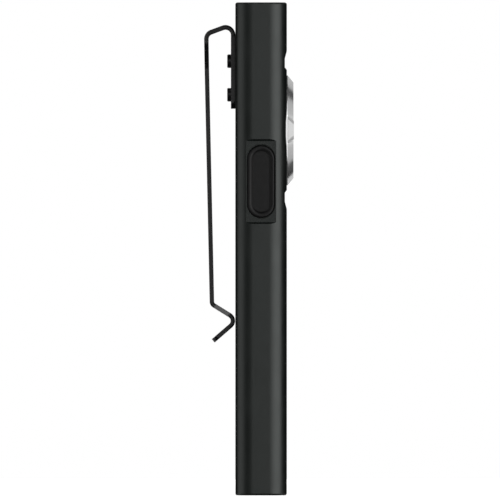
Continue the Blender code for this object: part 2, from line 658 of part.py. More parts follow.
def clip_corners():
    """The strip's route as (x, z, bend radius, half width), from the leg's end to the tip."""
    leg = CLIP_LEG_WIDTH / 2
    arm = CLIP_ARM_WIDTH / 2
    nose = CLIP_NOSE_WIDTH / 2
    nose_x = nose_corner_x()

    def on_arm(z):
        share = (z - CLIP_LOWER_BEND[1]) / (CLIP_SHOULDER[1] - CLIP_LOWER_BEND[1])
        return CLIP_LOWER_BEND[0] + share * (CLIP_SHOULDER[0] - CLIP_LOWER_BEND[0])

    taper_top = BODY_LENGTH - CLIP_TAPER_TOP_DROP
    taper_end = BODY_LENGTH - CLIP_TAPER_END_DROP
    return [
        (CLIP_LEG_X, BODY_LENGTH - CLIP_LEG_END_DROP, 0, leg),
        (CLIP_LEG_X, BODY_LENGTH - CLIP_TOP_DROP, CLIP_TOP_BEND, leg),
        (*CLIP_SHOULDER, CLIP_SHOULDER_BEND, leg),
        (on_arm(taper_top), taper_top, 0, leg),
        (on_arm(taper_end), taper_end, 0, arm),
        (*CLIP_LOWER_BEND, CLIP_LOWER_BEND_RADIUS, arm),
        (nose_x, CLIP_NOSE_Z, CLIP_NOSE_BEND, nose),
        (*CLIP_TIP, 0, nose),
    ]


def nose_corner_x():
    """The nose's sharp corner, set so that its rounded outside clears the body by the nose gap."""
    wanted = -(HALF_X + CLIP_NOSE_GAP)
    corner = wanted
    for _ in range(20):
        corner += wanted - nose_outer_x(corner)
    return corner


def nose_outer_x(corner_x):
    """How far towards the body the strip reaches at a nose whose sharp corner is at corner_x."""
    corner = Vector((corner_x, CLIP_NOSE_Z))
    towards_bend = (Vector(CLIP_LOWER_BEND) - corner).normalized()
    towards_tip = (Vector(CLIP_TIP) - corner).normalized()
    middle = (towards_bend + towards_tip).normalized()
    half_angle = towards_bend.angle(towards_tip) / 2
    centre = corner + middle * CLIP_NOSE_BEND / math.sin(half_angle)
    return centre.x + CLIP_NOSE_BEND + CLIP_THICKNESS / 2


def strip_stations(corners, steps=BEND_STEPS):
    """Expands the route's bends into arcs: (point, direction, half width) along the centre line."""
    stations = []
    points = [Vector((x, z)) for x, z, _, _ in corners]
    last = len(corners) - 1
    for i, (_, _, radius, width) in enumerate(corners):
        back = (points[i] - points[i - 1]).normalized() if i else None
        ahead = (points[i + 1] - points[i]).normalized() if i < last else None
        if not radius:
            direction = ((back or ahead) + (ahead or back)).normalized()
            stations.append((points[i], direction, width))
            continue
        turn = back.angle_signed(ahead)
        trim = radius * math.tan(abs(turn) / 2)
        start = points[i] - back * trim
        side = Vector((-back.y, back.x)) * (-1 if turn > 0 else 1)
        centre = start + side * radius
        for step in range(steps + 1):
            angle = -turn * step / steps
            spoke = rotated(start - centre, angle)
            stations.append((centre + spoke, rotated(back, angle), width))
    return stations


def rotated(vector, angle):
    """A plane vector turned anticlockwise."""
    cosine, sine = math.cos(angle), math.sin(angle)
    return Vector((vector.x * cosine - vector.y * sine, vector.x * sine + vector.y * cosine))


def rounded_end(station, direction, steps=4):
    """Stations that round the strip's end in plan: the end point lies at the given station."""
    point, heading, width = station
    radius = CLIP_END_ROUNDING
    rounded = []
    for step in range(steps + 1):
        angle = math.pi / 2 * step / steps
        along = radius * (1 - math.cos(angle))
        rounded.append((point + heading * direction * along, heading, width - radius * (1 - math.sin(angle))))
    return rounded


def strip(stations):
    """A bmesh of flat strip along its stations."""
    rings = []
    for point, direction, width in stations:
        normal = Vector((-direction.y, direction.x)) * CLIP_THICKNESS / 2
        outer, inner = point + normal, point - normal
        rings.append(
            [
                (outer.x, -width, outer.y),
                (outer.x, width, outer.y),
                (inner.x, width, inner.y),
                (inner.x, -width, inner.y),
            ]
        )
    return loft(rings)


def build_clip(spring_steel, screw_steel):
    """The clip's leg and its springy arm, two screws and the nut plate inside the tube."""
    stations = strip_stations(clip_corners())
    bend_end = 1 + BEND_STEPS + 1  # the leg's end and the top bend's stations
    last_leg, first_arm = stations[bend_end - 1], stations[bend_end]
    hinge = (last_leg[0] + first_arm[0]) / 2
    heading = last_leg[1]
    leg_end = (hinge - heading * FIT / 2, heading, last_leg[2])
    arm_start = (hinge + heading * FIT / 2, heading, first_arm[2])
    leg = rounded_end(stations[0], 1) + stations[1:bend_end] + [leg_end]
    tip = list(reversed(rounded_end(stations[-1], -1)))
    arm = [arm_start] + stations[bend_end:-1] + tip
    clip_leg = add_object("clip_leg", strip(leg), spring_steel)
    add_object("clip_arm", strip(arm), spring_steel)
    plate = block(
        (-PLUG_X, -NUT_PLATE_HALF_WIDTH, NUT_PLATE_LOW_Z),
        (-PLUG_X + NUT_PLATE_THICKNESS, NUT_PLATE_HALF_WIDTH, NUT_PLATE_HIGH_Z),
    )
    nut_plate = add_object("clip_nut_plate", plate, screw_steel)
    head_low = CLIP_LEG_OUTER_X - CLOSE_FIT
    for i, height in enumerate(CLIP_SCREW_Z):
        centre = (0, height)
        cut(clip_leg, f"hole_{i + 1}", rod(CLIP_SCREW_RADIUS + FIT, "X", centre, -HALF_Y, 0))
        cut(nut_plate, f"thread_{i + 1}", rod(CLIP_SCREW_RADIUS + CLOSE_FIT, "X", centre, -HALF_Y, 0))
        top = head_low - CLIP_SCREW_HEAD_HEIGHT
        profile = [
            (CLIP_SCREW_SOCKET_RADIUS, top + CLIP_SCREW_SOCKET_DEPTH),
            (CLIP_SCREW_SOCKET_RADIUS, top),
            (CLIP_SCREW_HEAD_RADIUS, top),
            (CLIP_SCREW_HEAD_RADIUS, head_low),
            (CLIP_SCREW_RADIUS, head_low),
            (CLIP_SCREW_RADIUS, -PLUG_X + NUT_PLATE_THICKNESS),
        ]
        add_object(f"clip_screw_{i + 1}", turned(profile, "X", centre), screw_steel)


def build_port(rubber, steel):
    """The rubber cover, the anchor end that stays in the body, and the socket behind them."""
    outer_y = COVER_INNER_Y + COVER_THICKNESS
    whole = slot_outline(COVER_WIDTH / 2, COVER_LENGTH / 2, PORT_Z)
    pad_inset = COVER_PAD_RIM
    pad = slot_outline(COVER_WIDTH / 2 - pad_inset, COVER_LENGTH / 2 - pad_inset, PORT_Z)
    pad_y = outer_y + COVER_PAD_RISE
    for name, low, high in (
        ("port_cover", COVER_HINGE_Z + FIT / 2, PORT_Z + COVER_LENGTH),
        ("port_cover_anchor", PORT_Z - COVER_LENGTH, COVER_HINGE_Z - FIT / 2),
    ):
        piece = add_object(name, prism(whole, "Y", -outer_y, -COVER_INNER_Y), rubber)
        join(piece, "pad", prism(pad, "Y", -pad_y, -outer_y + CLOSE_FIT))
        side = rectangle(-HALF_X, HALF_X, low, high)
        keep = combine(piece, prism(side, "Y", -HALF_Y - REACH, 0), "INTERSECT", "keep")
        keep.name = f"{name}_keep"
        if name == "port_cover":
            plug = slot_outline(COVER_PLUG_HALF_WIDTH, COVER_PLUG_HALF_LENGTH, PORT_Z)
            plug_end = SOCKET_MOUTH_Y + FIT
            join(piece, "plug", prism(plug, "Y", -COVER_INNER_Y - CLOSE_FIT, -plug_end))
        else:
            stem_z = COVER_LOW_Z + COVER_STEM_OFFSET
            bulb_y = CAVITY_Y - FIT
            stem = turned(
                [
                    (COVER_STEM_RADIUS, -COVER_INNER_Y - CLOSE_FIT),
                    (COVER_STEM_RADIUS, -bulb_y),
                    (COVER_BULB_RADIUS, -bulb_y),
                    (COVER_BULB_RADIUS, -bulb_y + COVER_BULB_THICKNESS),
                ],
                "Y",
                (0, stem_z),
                SMALL_STEPS,
            )
            join(piece, "stem", stem)
    build_socket(steel)


def build_socket(steel):
    """The charging socket: a thin shell with a tongue, lying on the control board."""
    mouth, back = -SOCKET_MOUTH_Y, -SOCKET_MOUTH_Y + SOCKET_DEPTH
    shell = slot_outline(SOCKET_HALF_THICKNESS, SOCKET_HALF_LENGTH, PORT_Z)
    socket = add_object("charging_socket", prism(shell, "Y", mouth, back), steel)
    hollow = slot_outline(SOCKET_HALF_THICKNESS - SOCKET_SHELL, SOCKET_HALF_LENGTH - SOCKET_SHELL, PORT_Z)
    cut(socket, "hollow", prism(hollow, "Y", mouth - REACH, back - 2 * SOCKET_SHELL))
    tongue = rectangle(
        -SOCKET_TONGUE_HALF_THICKNESS,
        SOCKET_TONGUE_HALF_THICKNESS,
        PORT_Z - SOCKET_TONGUE_HALF_LENGTH,
        PORT_Z + SOCKET_TONGUE_HALF_LENGTH,
    )
    join(socket, "tongue", prism(tongue, "Y", mouth + 2 * SOCKET_SHELL, back - SOCKET_SHELL))


def build_tail(anodised, rubber, steel):
    """The flush end plug, its gasket and its two countersunk screws."""
    outline = rounded_outline(PLUG_X, PLUG_Y, PLUG_RADIUS)
    cap = add_object("tail_cap", prism(outline, "Z", 0, TAIL_CAP_THICKNESS), anodised)
    inner = rounded_outline(
        PLUG_X - TAIL_GASKET_WIDTH, PLUG_Y - TAIL_GASKET_WIDTH, PLUG_RADIUS / 2
    )
    gasket_top = TAIL_GASKET_Z + TAIL_GASKET_THICKNESS
    gasket = add_object("tail_gasket", prism(outline, "Z", TAIL_GASKET_Z, gasket_top), rubber)
    cut(gasket, "middle", prism(inner, "Z", TAIL_GASKET_Z - REACH, gasket_top + REACH))
    for i, side in enumerate((1, -1)):
        centre = (0, side * TAIL_SCREW_Y)
        seat = TAIL_SCREW_HEAD_HEIGHT + CLOSE_FIT
        hole = [
            (TAIL_SCREW_HEAD_RADIUS + FIT, -REACH),
            (TAIL_SCREW_HEAD_RADIUS + FIT, CLOSE_FIT),
            (TAIL_SCREW_RADIUS + FIT, seat + FIT),
            (TAIL_SCREW_RADIUS + FIT, TAIL_CAP_THICKNESS + REACH),
        ]
        cut(cap, f"screw_hole_{i + 1}", turned(hole, "Z", centre, SMALL_STEPS))
        profile = [
            (TAIL_SCREW_HEAD_RADIUS, CLOSE_FIT),
            (TAIL_SCREW_RADIUS, seat),
            (TAIL_SCREW_RADIUS, seat + TAIL_SCREW_LENGTH),
        ]
        add_object(f"tail_screw_{i + 1}", turned(profile, "Z", centre, SMALL_STEPS), steel)


def board_screw_places():
    """Where the control board's four screws stand, as (y, z)."""
    low = BOARD_BAY_Z + BOARD_SCREW_INSET
    return [(side * BOARD_SCREW_Y, low + step) for step in (0, BOARD_SCREW_PITCH) for side in (1, -1)]


def build_chassis(plastic):
    """The sled inside the tube: two bulkheads, a battery tray, and rails and bosses for the board."""
    outline = rounded_outline(PLUG_X, PLUG_Y, PLUG_RADIUS)
    top = SPREADER_Z - FIT
    chassis = add_object("chassis", prism(outline, "Z", CHASSIS_Z, top), plastic)
    rail_y = PLUG_Y - CHASSIS_RAIL
    far = HALF_X + REACH
    wide = HALF_Y + REACH
    tray_top_x = FLOOR_X / 4
    cut(chassis, "battery_tray", block((FLOOR_X, -rail_y, BATTERY_BAY_Z), (far, rail_y, MID_BULKHEAD_Z)))
    cut(chassis, "above_tray", block((tray_top_x, -wide, BATTERY_BAY_Z), (far, wide, MID_BULKHEAD_Z)))
    notch = (BOARD_X, -LEAD_NOTCH_HALF_WIDTH, MID_BULKHEAD_Z - CLOSE_FIT)
    cut(chassis, "lead_notch", block(notch, (far, LEAD_NOTCH_HALF_WIDTH, BOARD_BAY_Z + CLOSE_FIT)))
    cut(chassis, "above_board", block((RAIL_X, -wide, BOARD_BAY_Z), (far, wide, top + REACH)))
    cut(chassis, "under_board", block((FLOOR_X, -rail_y, BOARD_BAY_Z), (far, rail_y, top + REACH)))
    nut_bay_z = NUT_PLATE_LOW_Z - FIT
    cut(chassis, "nut_plate_bay", block((-far, -rail_y, nut_bay_z), (far, rail_y, top + REACH)))
    for i, centre in enumerate(board_screw_places()):
        boss = rod(BOARD_BOSS_RADIUS, "X", centre, FLOOR_X - CHASSIS_FLOOR / 2, RAIL_X)
        join(chassis, f"boss_{i + 1}", boss)
        thread = rod(BOARD_SCREW_RADIUS + CLOSE_FIT, "X", centre, -HALF_X, RAIL_X + REACH, SMALL_STEPS)
        cut(chassis, f"boss_hole_{i + 1}", thread)
    screw_depth = TAIL_SCREW_HEAD_HEIGHT + TAIL_SCREW_LENGTH + FIT + CLOSE_FIT
    for i, side in enumerate((1, -1)):
        hole = rod(TAIL_SCREW_RADIUS + CLOSE_FIT, "Z", (0, side * TAIL_SCREW_Y), 0, screw_depth)
        cut(chassis, f"tail_screw_hole_{i + 1}", hole)


def build_battery(foil, foam, board, red, black):
    """The pouch cell with its small board, the foam that steadies it, and its two leads."""
    rail_y = PLUG_Y - CHASSIS_RAIL
    low_x = FLOOR_X + FIT
    pad_x = PLUG_X - BATTERY_PAD_THICKNESS
    high_x = pad_x - FIT
    half_x = (high_x - low_x) / 2
    middle_x = (high_x + low_x) / 2
    half_y = rail_y - FIT
    outline = [(middle_x + a, b) for a, b in rounded_outline(half_x, half_y, BATTERY_EDGE_RADIUS)]
    add_object("battery_cell", prism(outline, "Z", BATTERY_Z, BATTERY_TOP_Z), foil)
    margin = 2 * BATTERY_EDGE_RADIUS
    pad_y = half_y - margin
    pad = block((pad_x, -pad_y, BATTERY_Z + margin), (PLUG_X, pad_y, BATTERY_TOP_Z - margin))
    add_object("battery_foam_pad", pad, foam)
    board_low = BATTERY_TOP_Z + CLOSE_FIT
    board_high = board_low + CELL_BOARD_THICKNESS
    cell_board = block((low_x + margin, -pad_y, board_low), (high_x - margin / 2, pad_y, board_high))
    add_object("cell_protection_board", cell_board, board)
    connector_low = BOARD_BAY_Z + CONNECTOR_INSET
    lead_x = BOARD_X + CLOSE_FIT + CONNECTOR_SIZE[0] / 2
    for name, side, material in (("battery_lead_red", 1, red), ("battery_lead_black", -1, black)):
        y = side * BATTERY_LEAD_Y
        points = [
            (lead_x, 2 * y, board_high + CLOSE_FIT),
            (lead_x, 1.7 * y, MID_BULKHEAD_Z + MID_BULKHEAD / 4),
            (lead_x, y, connector_low - BATTERY_LEAD_DIAMETER),
            (lead_x, y, connector_low - CLOSE_FIT),
        ]
        add_lead(name, points, BATTERY_LEAD_DIAMETER, material)


def on_board(name, size, y, z, material):
    """A box-shaped component soldered to the control board, centred on (y, z)."""
    low = (BOARD_X + CLOSE_FIT, y - size[1] / 2, z - size[2] / 2)
    high = (BOARD_X + CLOSE_FIT + size[0], y + size[1] / 2, z + size[2] / 2)
    return add_object(name, block(low, high), material)


def build_control_board(board, chip, ferrite, white, steel, red, black):
    """The control board with its components and screws, and the two leads to the head."""
    half_y = CAVITY_Y - BOARD_SIDE_GAP
    plate = block((BOARD_BACK_X, -half_y, BOARD_Z), (BOARD_X, half_y, BOARD_TOP_Z))
    control_board = add_object("control_board", plate, board)
    connector_z = BOARD_BAY_Z + CONNECTOR_INSET + CONNECTOR_SIZE[2] / 2
    on_board("battery_connector", CONNECTOR_SIZE, 0, connector_z, white)
    on_board("boost_inductor", INDUCTOR_SIZE, COMPONENT_Y, PORT_Z, ferrite)
    on_board("controller_chip", CHIP_SIZE, COMPONENT_Y, DIAL_CENTRE_Z + MAGNET_OFFSET, chip)
    on_board("hall_sensor", SENSOR_SIZE, 0, DIAL_CENTRE_Z + MAGNET_OFFSET, chip)
    for i, centre in enumerate(board_screw_places()):
        hole = rod(BOARD_SCREW_RADIUS + FIT, "X", centre, BOARD_BACK_X - REACH, REACH)
        cut(control_board, f"hole_{i + 1}", hole)
        head_low = BOARD_X + CLOSE_FIT
        tip = RAIL_X - BOARD_SCREW_DEPTH
        profile = [
            (BOARD_SCREW_RADIUS, tip),
            (BOARD_SCREW_RADIUS, head_low),
            (BOARD_SCREW_HEAD_RADIUS, head_low),
            (BOARD_SCREW_HEAD_RADIUS, head_low + BOARD_SCREW_HEAD_HEIGHT),
        ]
        add_object(f"board_screw_{i + 1}", turned(profile, "X", centre, SMALL_STEPS), steel)
    lead_x = BOARD_X + CLOSE_FIT + LED_LEAD_DIAMETER / 2
    for name, side, material in (("led_lead_red", 1, red), ("led_lead_black", -1, black)):
        y = side * OPTIC_PITCH / 2
        points = [
            (lead_x, y, BOARD_TOP_Z - LED_LEAD_REACH),
            (lead_x, y, BOARD_TOP_Z - LED_LEAD_REACH / 2),
            (0, y, SPREADER_Z - LED_LEAD_DIAMETER / 2),
            (0, y, SPREADER_Z + LED_LEAD_DIAMETER),
            (0, y, HOLDER_Z - FIT),
        ]
        add_lead(name, points, LED_LEAD_DIAMETER, material)


def build_head(anodised, metal, white, optic, glass, rubber, plastic, board, led, steel):
    """The heat spreader, LED board, LEDs, lens array and its holder, gasket, window, bezel and screws."""
    outline = rounded_outline(PLUG_X, PLUG_Y, PLUG_RADIUS)
    window = rounded_outline(LENS_X, LENS_Y, LENS_CORNER_RADIUS)
    pocket = rounded_outline(LENS_X + FIT, LENS_Y + FIT, LENS_CORNER_RADIUS + FIT)
    lap = BEZEL_OVERLAP
    aperture = rounded_outline(LENS_X - lap, LENS_Y - lap, LENS_CORNER_RADIUS - lap)
    spreader_top = SPREADER_Z + SPREADER_THICKNESS
    spreader = add_object("heat_spreader", prism(outline, "Z", SPREADER_Z, spreader_top), metal)
    holder_top = HOLDER_Z + HOLDER_HEIGHT
    holder = add_object("optic_holder", prism(outline, "Z", HOLDER_Z, holder_top), plastic)
    flange_low = holder_top - CLOSE_FIT - OPTIC_FLANGE_THICKNESS
    ledge_high = flange_low - CLOSE_FIT
    ledge_low = ledge_high - HOLDER_LEDGE
    through = rounded_outline(
        LENS_X + FIT - HOLDER_LEDGE_WIDTH, LENS_Y + FIT - HOLDER_LEDGE_WIDTH, LENS_CORNER_RADIUS
    )
    cut(holder, "lower_room", prism(pocket, "Z", HOLDER_Z - REACH, ledge_low))
    cut(holder, "middle", prism(through, "Z", HOLDER_Z - REACH, holder_top + REACH))
    cut(holder, "upper_room", prism(pocket, "Z", ledge_high, holder_top + REACH))
    led_board_low = spreader_top + CLOSE_FIT
    led_board_high = led_board_low + LED_BOARD_THICKNESS
    add_object("led_board", prism(window, "Z", led_board_low, led_board_high), white)
    build_optics(flange_low, led_board_high, window, optic, led)
    ring_inner = rounded_outline(
        LENS_X - LENS_GASKET_WIDTH, LENS_Y - LENS_GASKET_WIDTH, LENS_CORNER_RADIUS - LENS_GASKET_WIDTH
    )
    gasket_high = LENS_Z - CLOSE_FIT
    gasket_low = gasket_high - LENS_GASKET_THICKNESS
    gasket = add_object("lens_gasket", prism(window, "Z", gasket_low, gasket_high), rubber)
    cut(gasket, "middle", prism(ring_inner, "Z", gasket_low - REACH, gasket_high + REACH))
    add_object("lens_window", prism(window, "Z", LENS_Z, LENS_Z + LENS_THICKNESS), glass)
    bezel = add_object("head_bezel", prism(outline, "Z", BEZEL_Z, BODY_LENGTH), anodised)
    cut(bezel, "aperture", prism(aperture, "Z", BEZEL_Z - REACH, BODY_LENGTH + REACH))
    cut(bezel, "lens_pocket", prism(pocket, "Z", BEZEL_Z - REACH, BODY_LENGTH - BEZEL_LIP))
    for side in (1, -1):
        wire_hole = rod(LED_LEAD_DIAMETER / 2 + FIT, "Z", (0, side * OPTIC_PITCH / 2), 0, BODY_LENGTH)
        cut(spreader, f"lead_hole_{'a' if side > 0 else 'b'}", wire_hole)
    build_bezel_screws(spreader, holder, bezel, spreader_top, steel)


def build_optics(flange_low, led_board_high, window, optic, led):
    """One moulding with a cone-shaped lens over each LED."""
    flange_high = flange_low + OPTIC_FLANGE_THICKNESS
    optics = add_object("optic_array", prism(window, "Z", flange_low, flange_high), optic)
    foot = led_board_high + CLOSE_FIT
    for i in range(LED_COUNT):
        y = OPTIC_PITCH * (i - (LED_COUNT - 1) / 2)
        cone = [
            (OPTIC_FOOT_RADIUS, foot),
            (OPTIC_RADIUS - CLOSE_FIT, flange_low + CLOSE_FIT),
        ]
        join(optics, f"cone_{i + 1}", turned(cone, "Z", (0, y)))
        pocket = rod(LED_HALF_SIZE * math.sqrt(2) + CLOSE_FIT, "Z", (0, y), 0, foot + OPTIC_POCKET_DEPTH)
        cut(optics, f"led_pocket_{i + 1}", pocket)
        low = (-LED_HALF_SIZE, y - LED_HALF_SIZE, led_board_high + CLOSE_FIT)
        high = (LED_HALF_SIZE, y + LED_HALF_SIZE, led_board_high + CLOSE_FIT + LED_HEIGHT)
        add_object(f"led_{i + 1}", block(low, high), led)


def build_bezel_screws(spreader, holder, bezel, spreader_top, steel):
    """Two screws that draw the bezel and the optic holder down onto the heat spreader."""
    head_high = BODY_LENGTH - BEZEL_SCREW_SINK
    head_low = head_high - BEZEL_SCREW_HEAD_HEIGHT
    tip = spreader_top - BEZEL_SCREW_THREAD
    for i, side in enumerate((1, -1)):
        centre = (0, side * BEZEL_SCREW_Y)
        clear = BEZEL_SCREW_RADIUS + RUNNING_FIT
        cut(spreader, f"thread_{i + 1}", rod(clear, "Z", centre, tip - FIT, BODY_LENGTH))
        cut(holder, f"screw_hole_{i + 1}", rod(clear, "Z", centre, 0, BODY_LENGTH))
        stepped = [
            (clear, BEZEL_Z - REACH),
            (clear, head_low - CLOSE_FIT),
            (BEZEL_SCREW_HEAD_RADIUS + RUNNING_FIT, head_low - CLOSE_FIT),
            (BEZEL_SCREW_HEAD_RADIUS + RUNNING_FIT, BODY_LENGTH + REACH),
        ]
        cut(bezel, f"screw_hole_{i + 1}", turned(stepped, "Z", centre, SMALL_STEPS))
        profile = [
            (BEZEL_SCREW_RADIUS, tip),
            (BEZEL_SCREW_RADIUS, head_low),
            (BEZEL_SCREW_HEAD_RADIUS, head_low),
            (BEZEL_SCREW_HEAD_RADIUS, head_high),
        ]
        add_object(f"bezel_screw_{i + 1}", turned(profile, "Z", centre, SMALL_STEPS), steel)


def main():
    """Clears the scene and builds every piece."""
    clear_scene()
    anodised = make_material("black_anodised_aluminium", (0.022, 0.022, 0.024), 0.42, 0.3)
    nickel = make_material("polished_nickel", (0.74, 0.74, 0.73), 0.22, 1.0)
    clip_black = make_material("black_spring_steel", (0.015, 0.015, 0.016), 0.4, 0.3)
    screw_black = make_material("black_screw_steel", (0.02, 0.02, 0.02), 0.35, 0.5)
    steel = make_material("plain_steel", (0.55, 0.55, 0.56), 0.3, 1.0)
    brass = make_material("brass", (0.72, 0.55, 0.26), 0.35, 1.0)
    rubber = make_material("black_rubber", (0.02, 0.02, 0.021), 0.65)
    magnet = make_material("nickel_plated_magnet", (0.6, 0.6, 0.6), 0.25, 1.0)
    plastic = make_material("black_plastic", (0.03, 0.03, 0.03), 0.5)
    foil = make_material("battery_foil", (0.62, 0.63, 0.65), 0.35, 0.8)
    foam = make_material("grey_foam", (0.12, 0.12, 0.12), 0.9)
    board = make_material("green_board", (0.02, 0.11, 0.05), 0.4)
    chip = make_material("chip_plastic", (0.025, 0.025, 0.027), 0.45)
    ferrite = make_material("ferrite", (0.09, 0.09, 0.09), 0.6)
    white = make_material("white_plastic", (0.8, 0.8, 0.78), 0.45)
    red = make_material("red_insulation", (0.55, 0.03, 0.03), 0.45)
    black = make_material("black_insulation", (0.02, 0.02, 0.02), 0.45)
    metal = make_material("bare_aluminium", (0.7, 0.7, 0.71), 0.35, 1.0)
    optic = make_material("clear_optic", (0.95, 0.96, 0.97), 0.05, 0.0, 1.0)
    glass = make_material("window_glass", (0.96, 0.98, 0.98), 0.02, 0.0, 1.0)
    led = make_material("led_phosphor", (0.85, 0.7, 0.2), 0.4)
    build_housing(anodised)
    build_dial(nickel)
    build_dial_bearing(brass, steel, rubber, magnet)
    build_clip(clip_black, screw_black)
    build_port(rubber, steel)
    build_tail(anodised, rubber, screw_black)
    build_chassis(plastic)
    build_battery(foil, foam, board, red, black)
    build_control_board(board, chip, ferrite, white, steel, red, black)
    build_head(anodised, metal, white, optic, glass, rubber, plastic, board, led, screw_black)


main()
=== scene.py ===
"""The looks of a slim, flat pocket flashlight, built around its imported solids.

The light stands on its tail: +Z runs from the tail face to the head, X is the body's thickness with
the dial on +X and the clip on -X, and Y is its width with the charging port on -Y. Lengths are in
metres, and MM turns millimetres into them.
"""

from __future__ import annotations

import json
import logging
import math
from dataclasses import dataclass
from enum import Enum
from typing import Callable, Iterable

import bmesh
import bpy
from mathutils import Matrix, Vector

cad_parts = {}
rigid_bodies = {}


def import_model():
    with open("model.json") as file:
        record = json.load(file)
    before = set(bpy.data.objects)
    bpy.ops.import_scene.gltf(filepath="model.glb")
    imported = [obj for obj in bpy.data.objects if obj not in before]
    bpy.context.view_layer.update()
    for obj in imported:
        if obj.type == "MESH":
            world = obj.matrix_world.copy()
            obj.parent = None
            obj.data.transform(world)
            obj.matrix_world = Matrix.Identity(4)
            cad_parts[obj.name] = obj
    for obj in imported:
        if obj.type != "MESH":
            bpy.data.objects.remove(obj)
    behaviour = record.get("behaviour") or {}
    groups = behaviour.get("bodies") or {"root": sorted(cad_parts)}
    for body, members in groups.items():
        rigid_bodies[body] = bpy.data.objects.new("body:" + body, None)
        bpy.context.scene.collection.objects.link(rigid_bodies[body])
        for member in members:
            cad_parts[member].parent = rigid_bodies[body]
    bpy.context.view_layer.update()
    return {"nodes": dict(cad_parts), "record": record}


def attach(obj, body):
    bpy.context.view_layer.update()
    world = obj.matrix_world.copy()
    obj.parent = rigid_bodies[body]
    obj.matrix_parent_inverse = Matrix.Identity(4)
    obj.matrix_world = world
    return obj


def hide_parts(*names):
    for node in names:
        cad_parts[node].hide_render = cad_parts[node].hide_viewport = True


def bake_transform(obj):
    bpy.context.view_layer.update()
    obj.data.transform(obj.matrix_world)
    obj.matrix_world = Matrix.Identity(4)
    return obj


LOG = logging.getLogger("pocket_light")

Vec3 = tuple[float, float, float]
Colour = tuple[float, float, float]
Outline = list[tuple[float, float]]
Ring = list[Vec3]

MM = 0.001
PAST = 5.0 * MM  # how far a cut through the tube runs past it
CLEARANCE = 1.0 * MM  # how far a cut in a small piece runs past it
OVERLAP = 0.1 * MM  # how far two shapes that meet run into each other
HOLE_STEPS = 32  # edges round a small hole
STRAIGHT = 0.999  # the least share of a normal that faces straight along an axis
FACING = 0.9  # the least share of one that faces roughly along it

LENGTH = 138.7 * MM
END_PLATE: Vec3 = (5.35 * MM, 15.0 * MM, 1.7 * MM)  # half x, half y, corner
DIAL_CENTRE: Vec3 = (0.0, 0.0, 102.8 * MM)
PORT_Z = 88.3 * MM
ANCHOR_Z = 80.2 * MM
CLIP_SCREW_HEIGHTS = (112.82 * MM, 122.3 * MM)

DIAL = "dial_wheel"
STRIP = "clip_strip"
HALF_WIDTH = "half_width"  # the attribute that carries the strip's half width

NEAR = 0.3  # distances of the light panels
FAR = 3.0


class Axis(Enum):
    """The axis that a shape is drawn along."""

    X = "X"
    Y = "Y"
    Z = "Z"

    def place(self, a: float, b: float, height: float) -> Vec3:
        """A point from two cross-axis values, in X, Y, Z order, and one along the axis."""
        return {Axis.X: (height, a, b), Axis.Y: (a, height, b), Axis.Z: (a, b, height)}[self]


class Body(Enum):
    """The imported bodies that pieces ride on."""

    LIGHT = "light_body"
    DIAL = "dial_turning"
    CLIP = "clip_spring_arm"
    FLAP = "port_flap"


class Boolean(Enum):
    """What a helper shape does to a piece."""

    CUT = "DIFFERENCE"
    JOIN = "UNION"


@dataclass(frozen=True)
class Bend:
    """Where a piece would pass from its first body to its second; only the kind is read, and the
    piece is not made to bend.
    """

    first: Body
    second: Body
    start: Vec3
    end: Vec3


# Outlines and meshes


def quarter_turn(steps: int) -> list[float]:
    """Evenly spaced angles from nothing to a right angle."""
    return [math.pi / 2 * step / steps for step in range(steps + 1)]


def rounded_outline(
    half_a: float, half_b: float, corner_a: float, corner_b: float | None = None, steps: int = 12
) -> Outline:
    """A rectangle's outline with round or elliptical corners.

    Args:
        half_a: Half the size along the first axis.
        half_b: Half the size along the second axis.
        corner_a: The corner's reach along the first axis.
        corner_b: Its reach along the second axis, if it differs.
        steps: Edges in each corner.

    Returns:
        The outline's points, anticlockwise.
    """
    corner_b = corner_a if corner_b is None else corner_b
    points = []
    for quarter, (side_a, side_b) in enumerate(((1, 1), (-1, 1), (-1, -1), (1, -1))):
        for step in range(steps + 1):
            angle = math.pi / 2 * (quarter + step / steps)
            a = side_a * (half_a - corner_a) + corner_a * math.cos(angle)
            b = side_b * (half_b - corner_b) + corner_b * math.sin(angle)
            points.append((a, b))
    return points


def slot_outline(
    half_a: float, half_b: float, centre_b: float = 0.0, steps: int = 24, rows: int = 1
) -> Outline:
    """A slot with round ends, longer along its second axis, with mirrored points on its two sides.

    Args:
        half_a: Half its width, which is also the radius of its ends.
        half_b: Half its length.
        centre_b: The middle of its length.
        steps: Edges in each round end.
        rows: Edges along each straight side.

    Returns:
        The outline's points, anticlockwise from the middle of the lower end.
    """
    run = half_b - half_a
    right = []
    for step in range(steps // 2):
        angle = -math.pi / 2 + math.pi * (step + 0.5) / steps
        right.append((half_a * math.cos(angle), centre_b - run + half_a * math.sin(angle)))
    right += [(half_a, centre_b - run + 2 * run * row / rows) for row in range(rows + 1)]
    for step in range(steps // 2):
        angle = math.pi * (step + 0.5) / steps
        right.append((half_a * math.cos(angle), centre_b + run + half_a * math.sin(angle)))
    return right + [(-a, b) for a, b in reversed(right)]


def rectangle(low_a: float, high_a: float, low_b: float, high_b: float) -> Outline:
    """A rectangle's four corners."""
    return [(low_a, low_b), (high_a, low_b), (high_a, high_b), (low_a, high_b)]


def circle(radius: float, centre: tuple[float, float] = (0.0, 0.0), steps: int = 64) -> Outline:
    """A circle's outline."""
    turns = [2 * math.pi / steps * i for i in range(steps)]
    return [(centre[0] + radius * math.cos(t), centre[1] + radius * math.sin(t)) for t in turns]


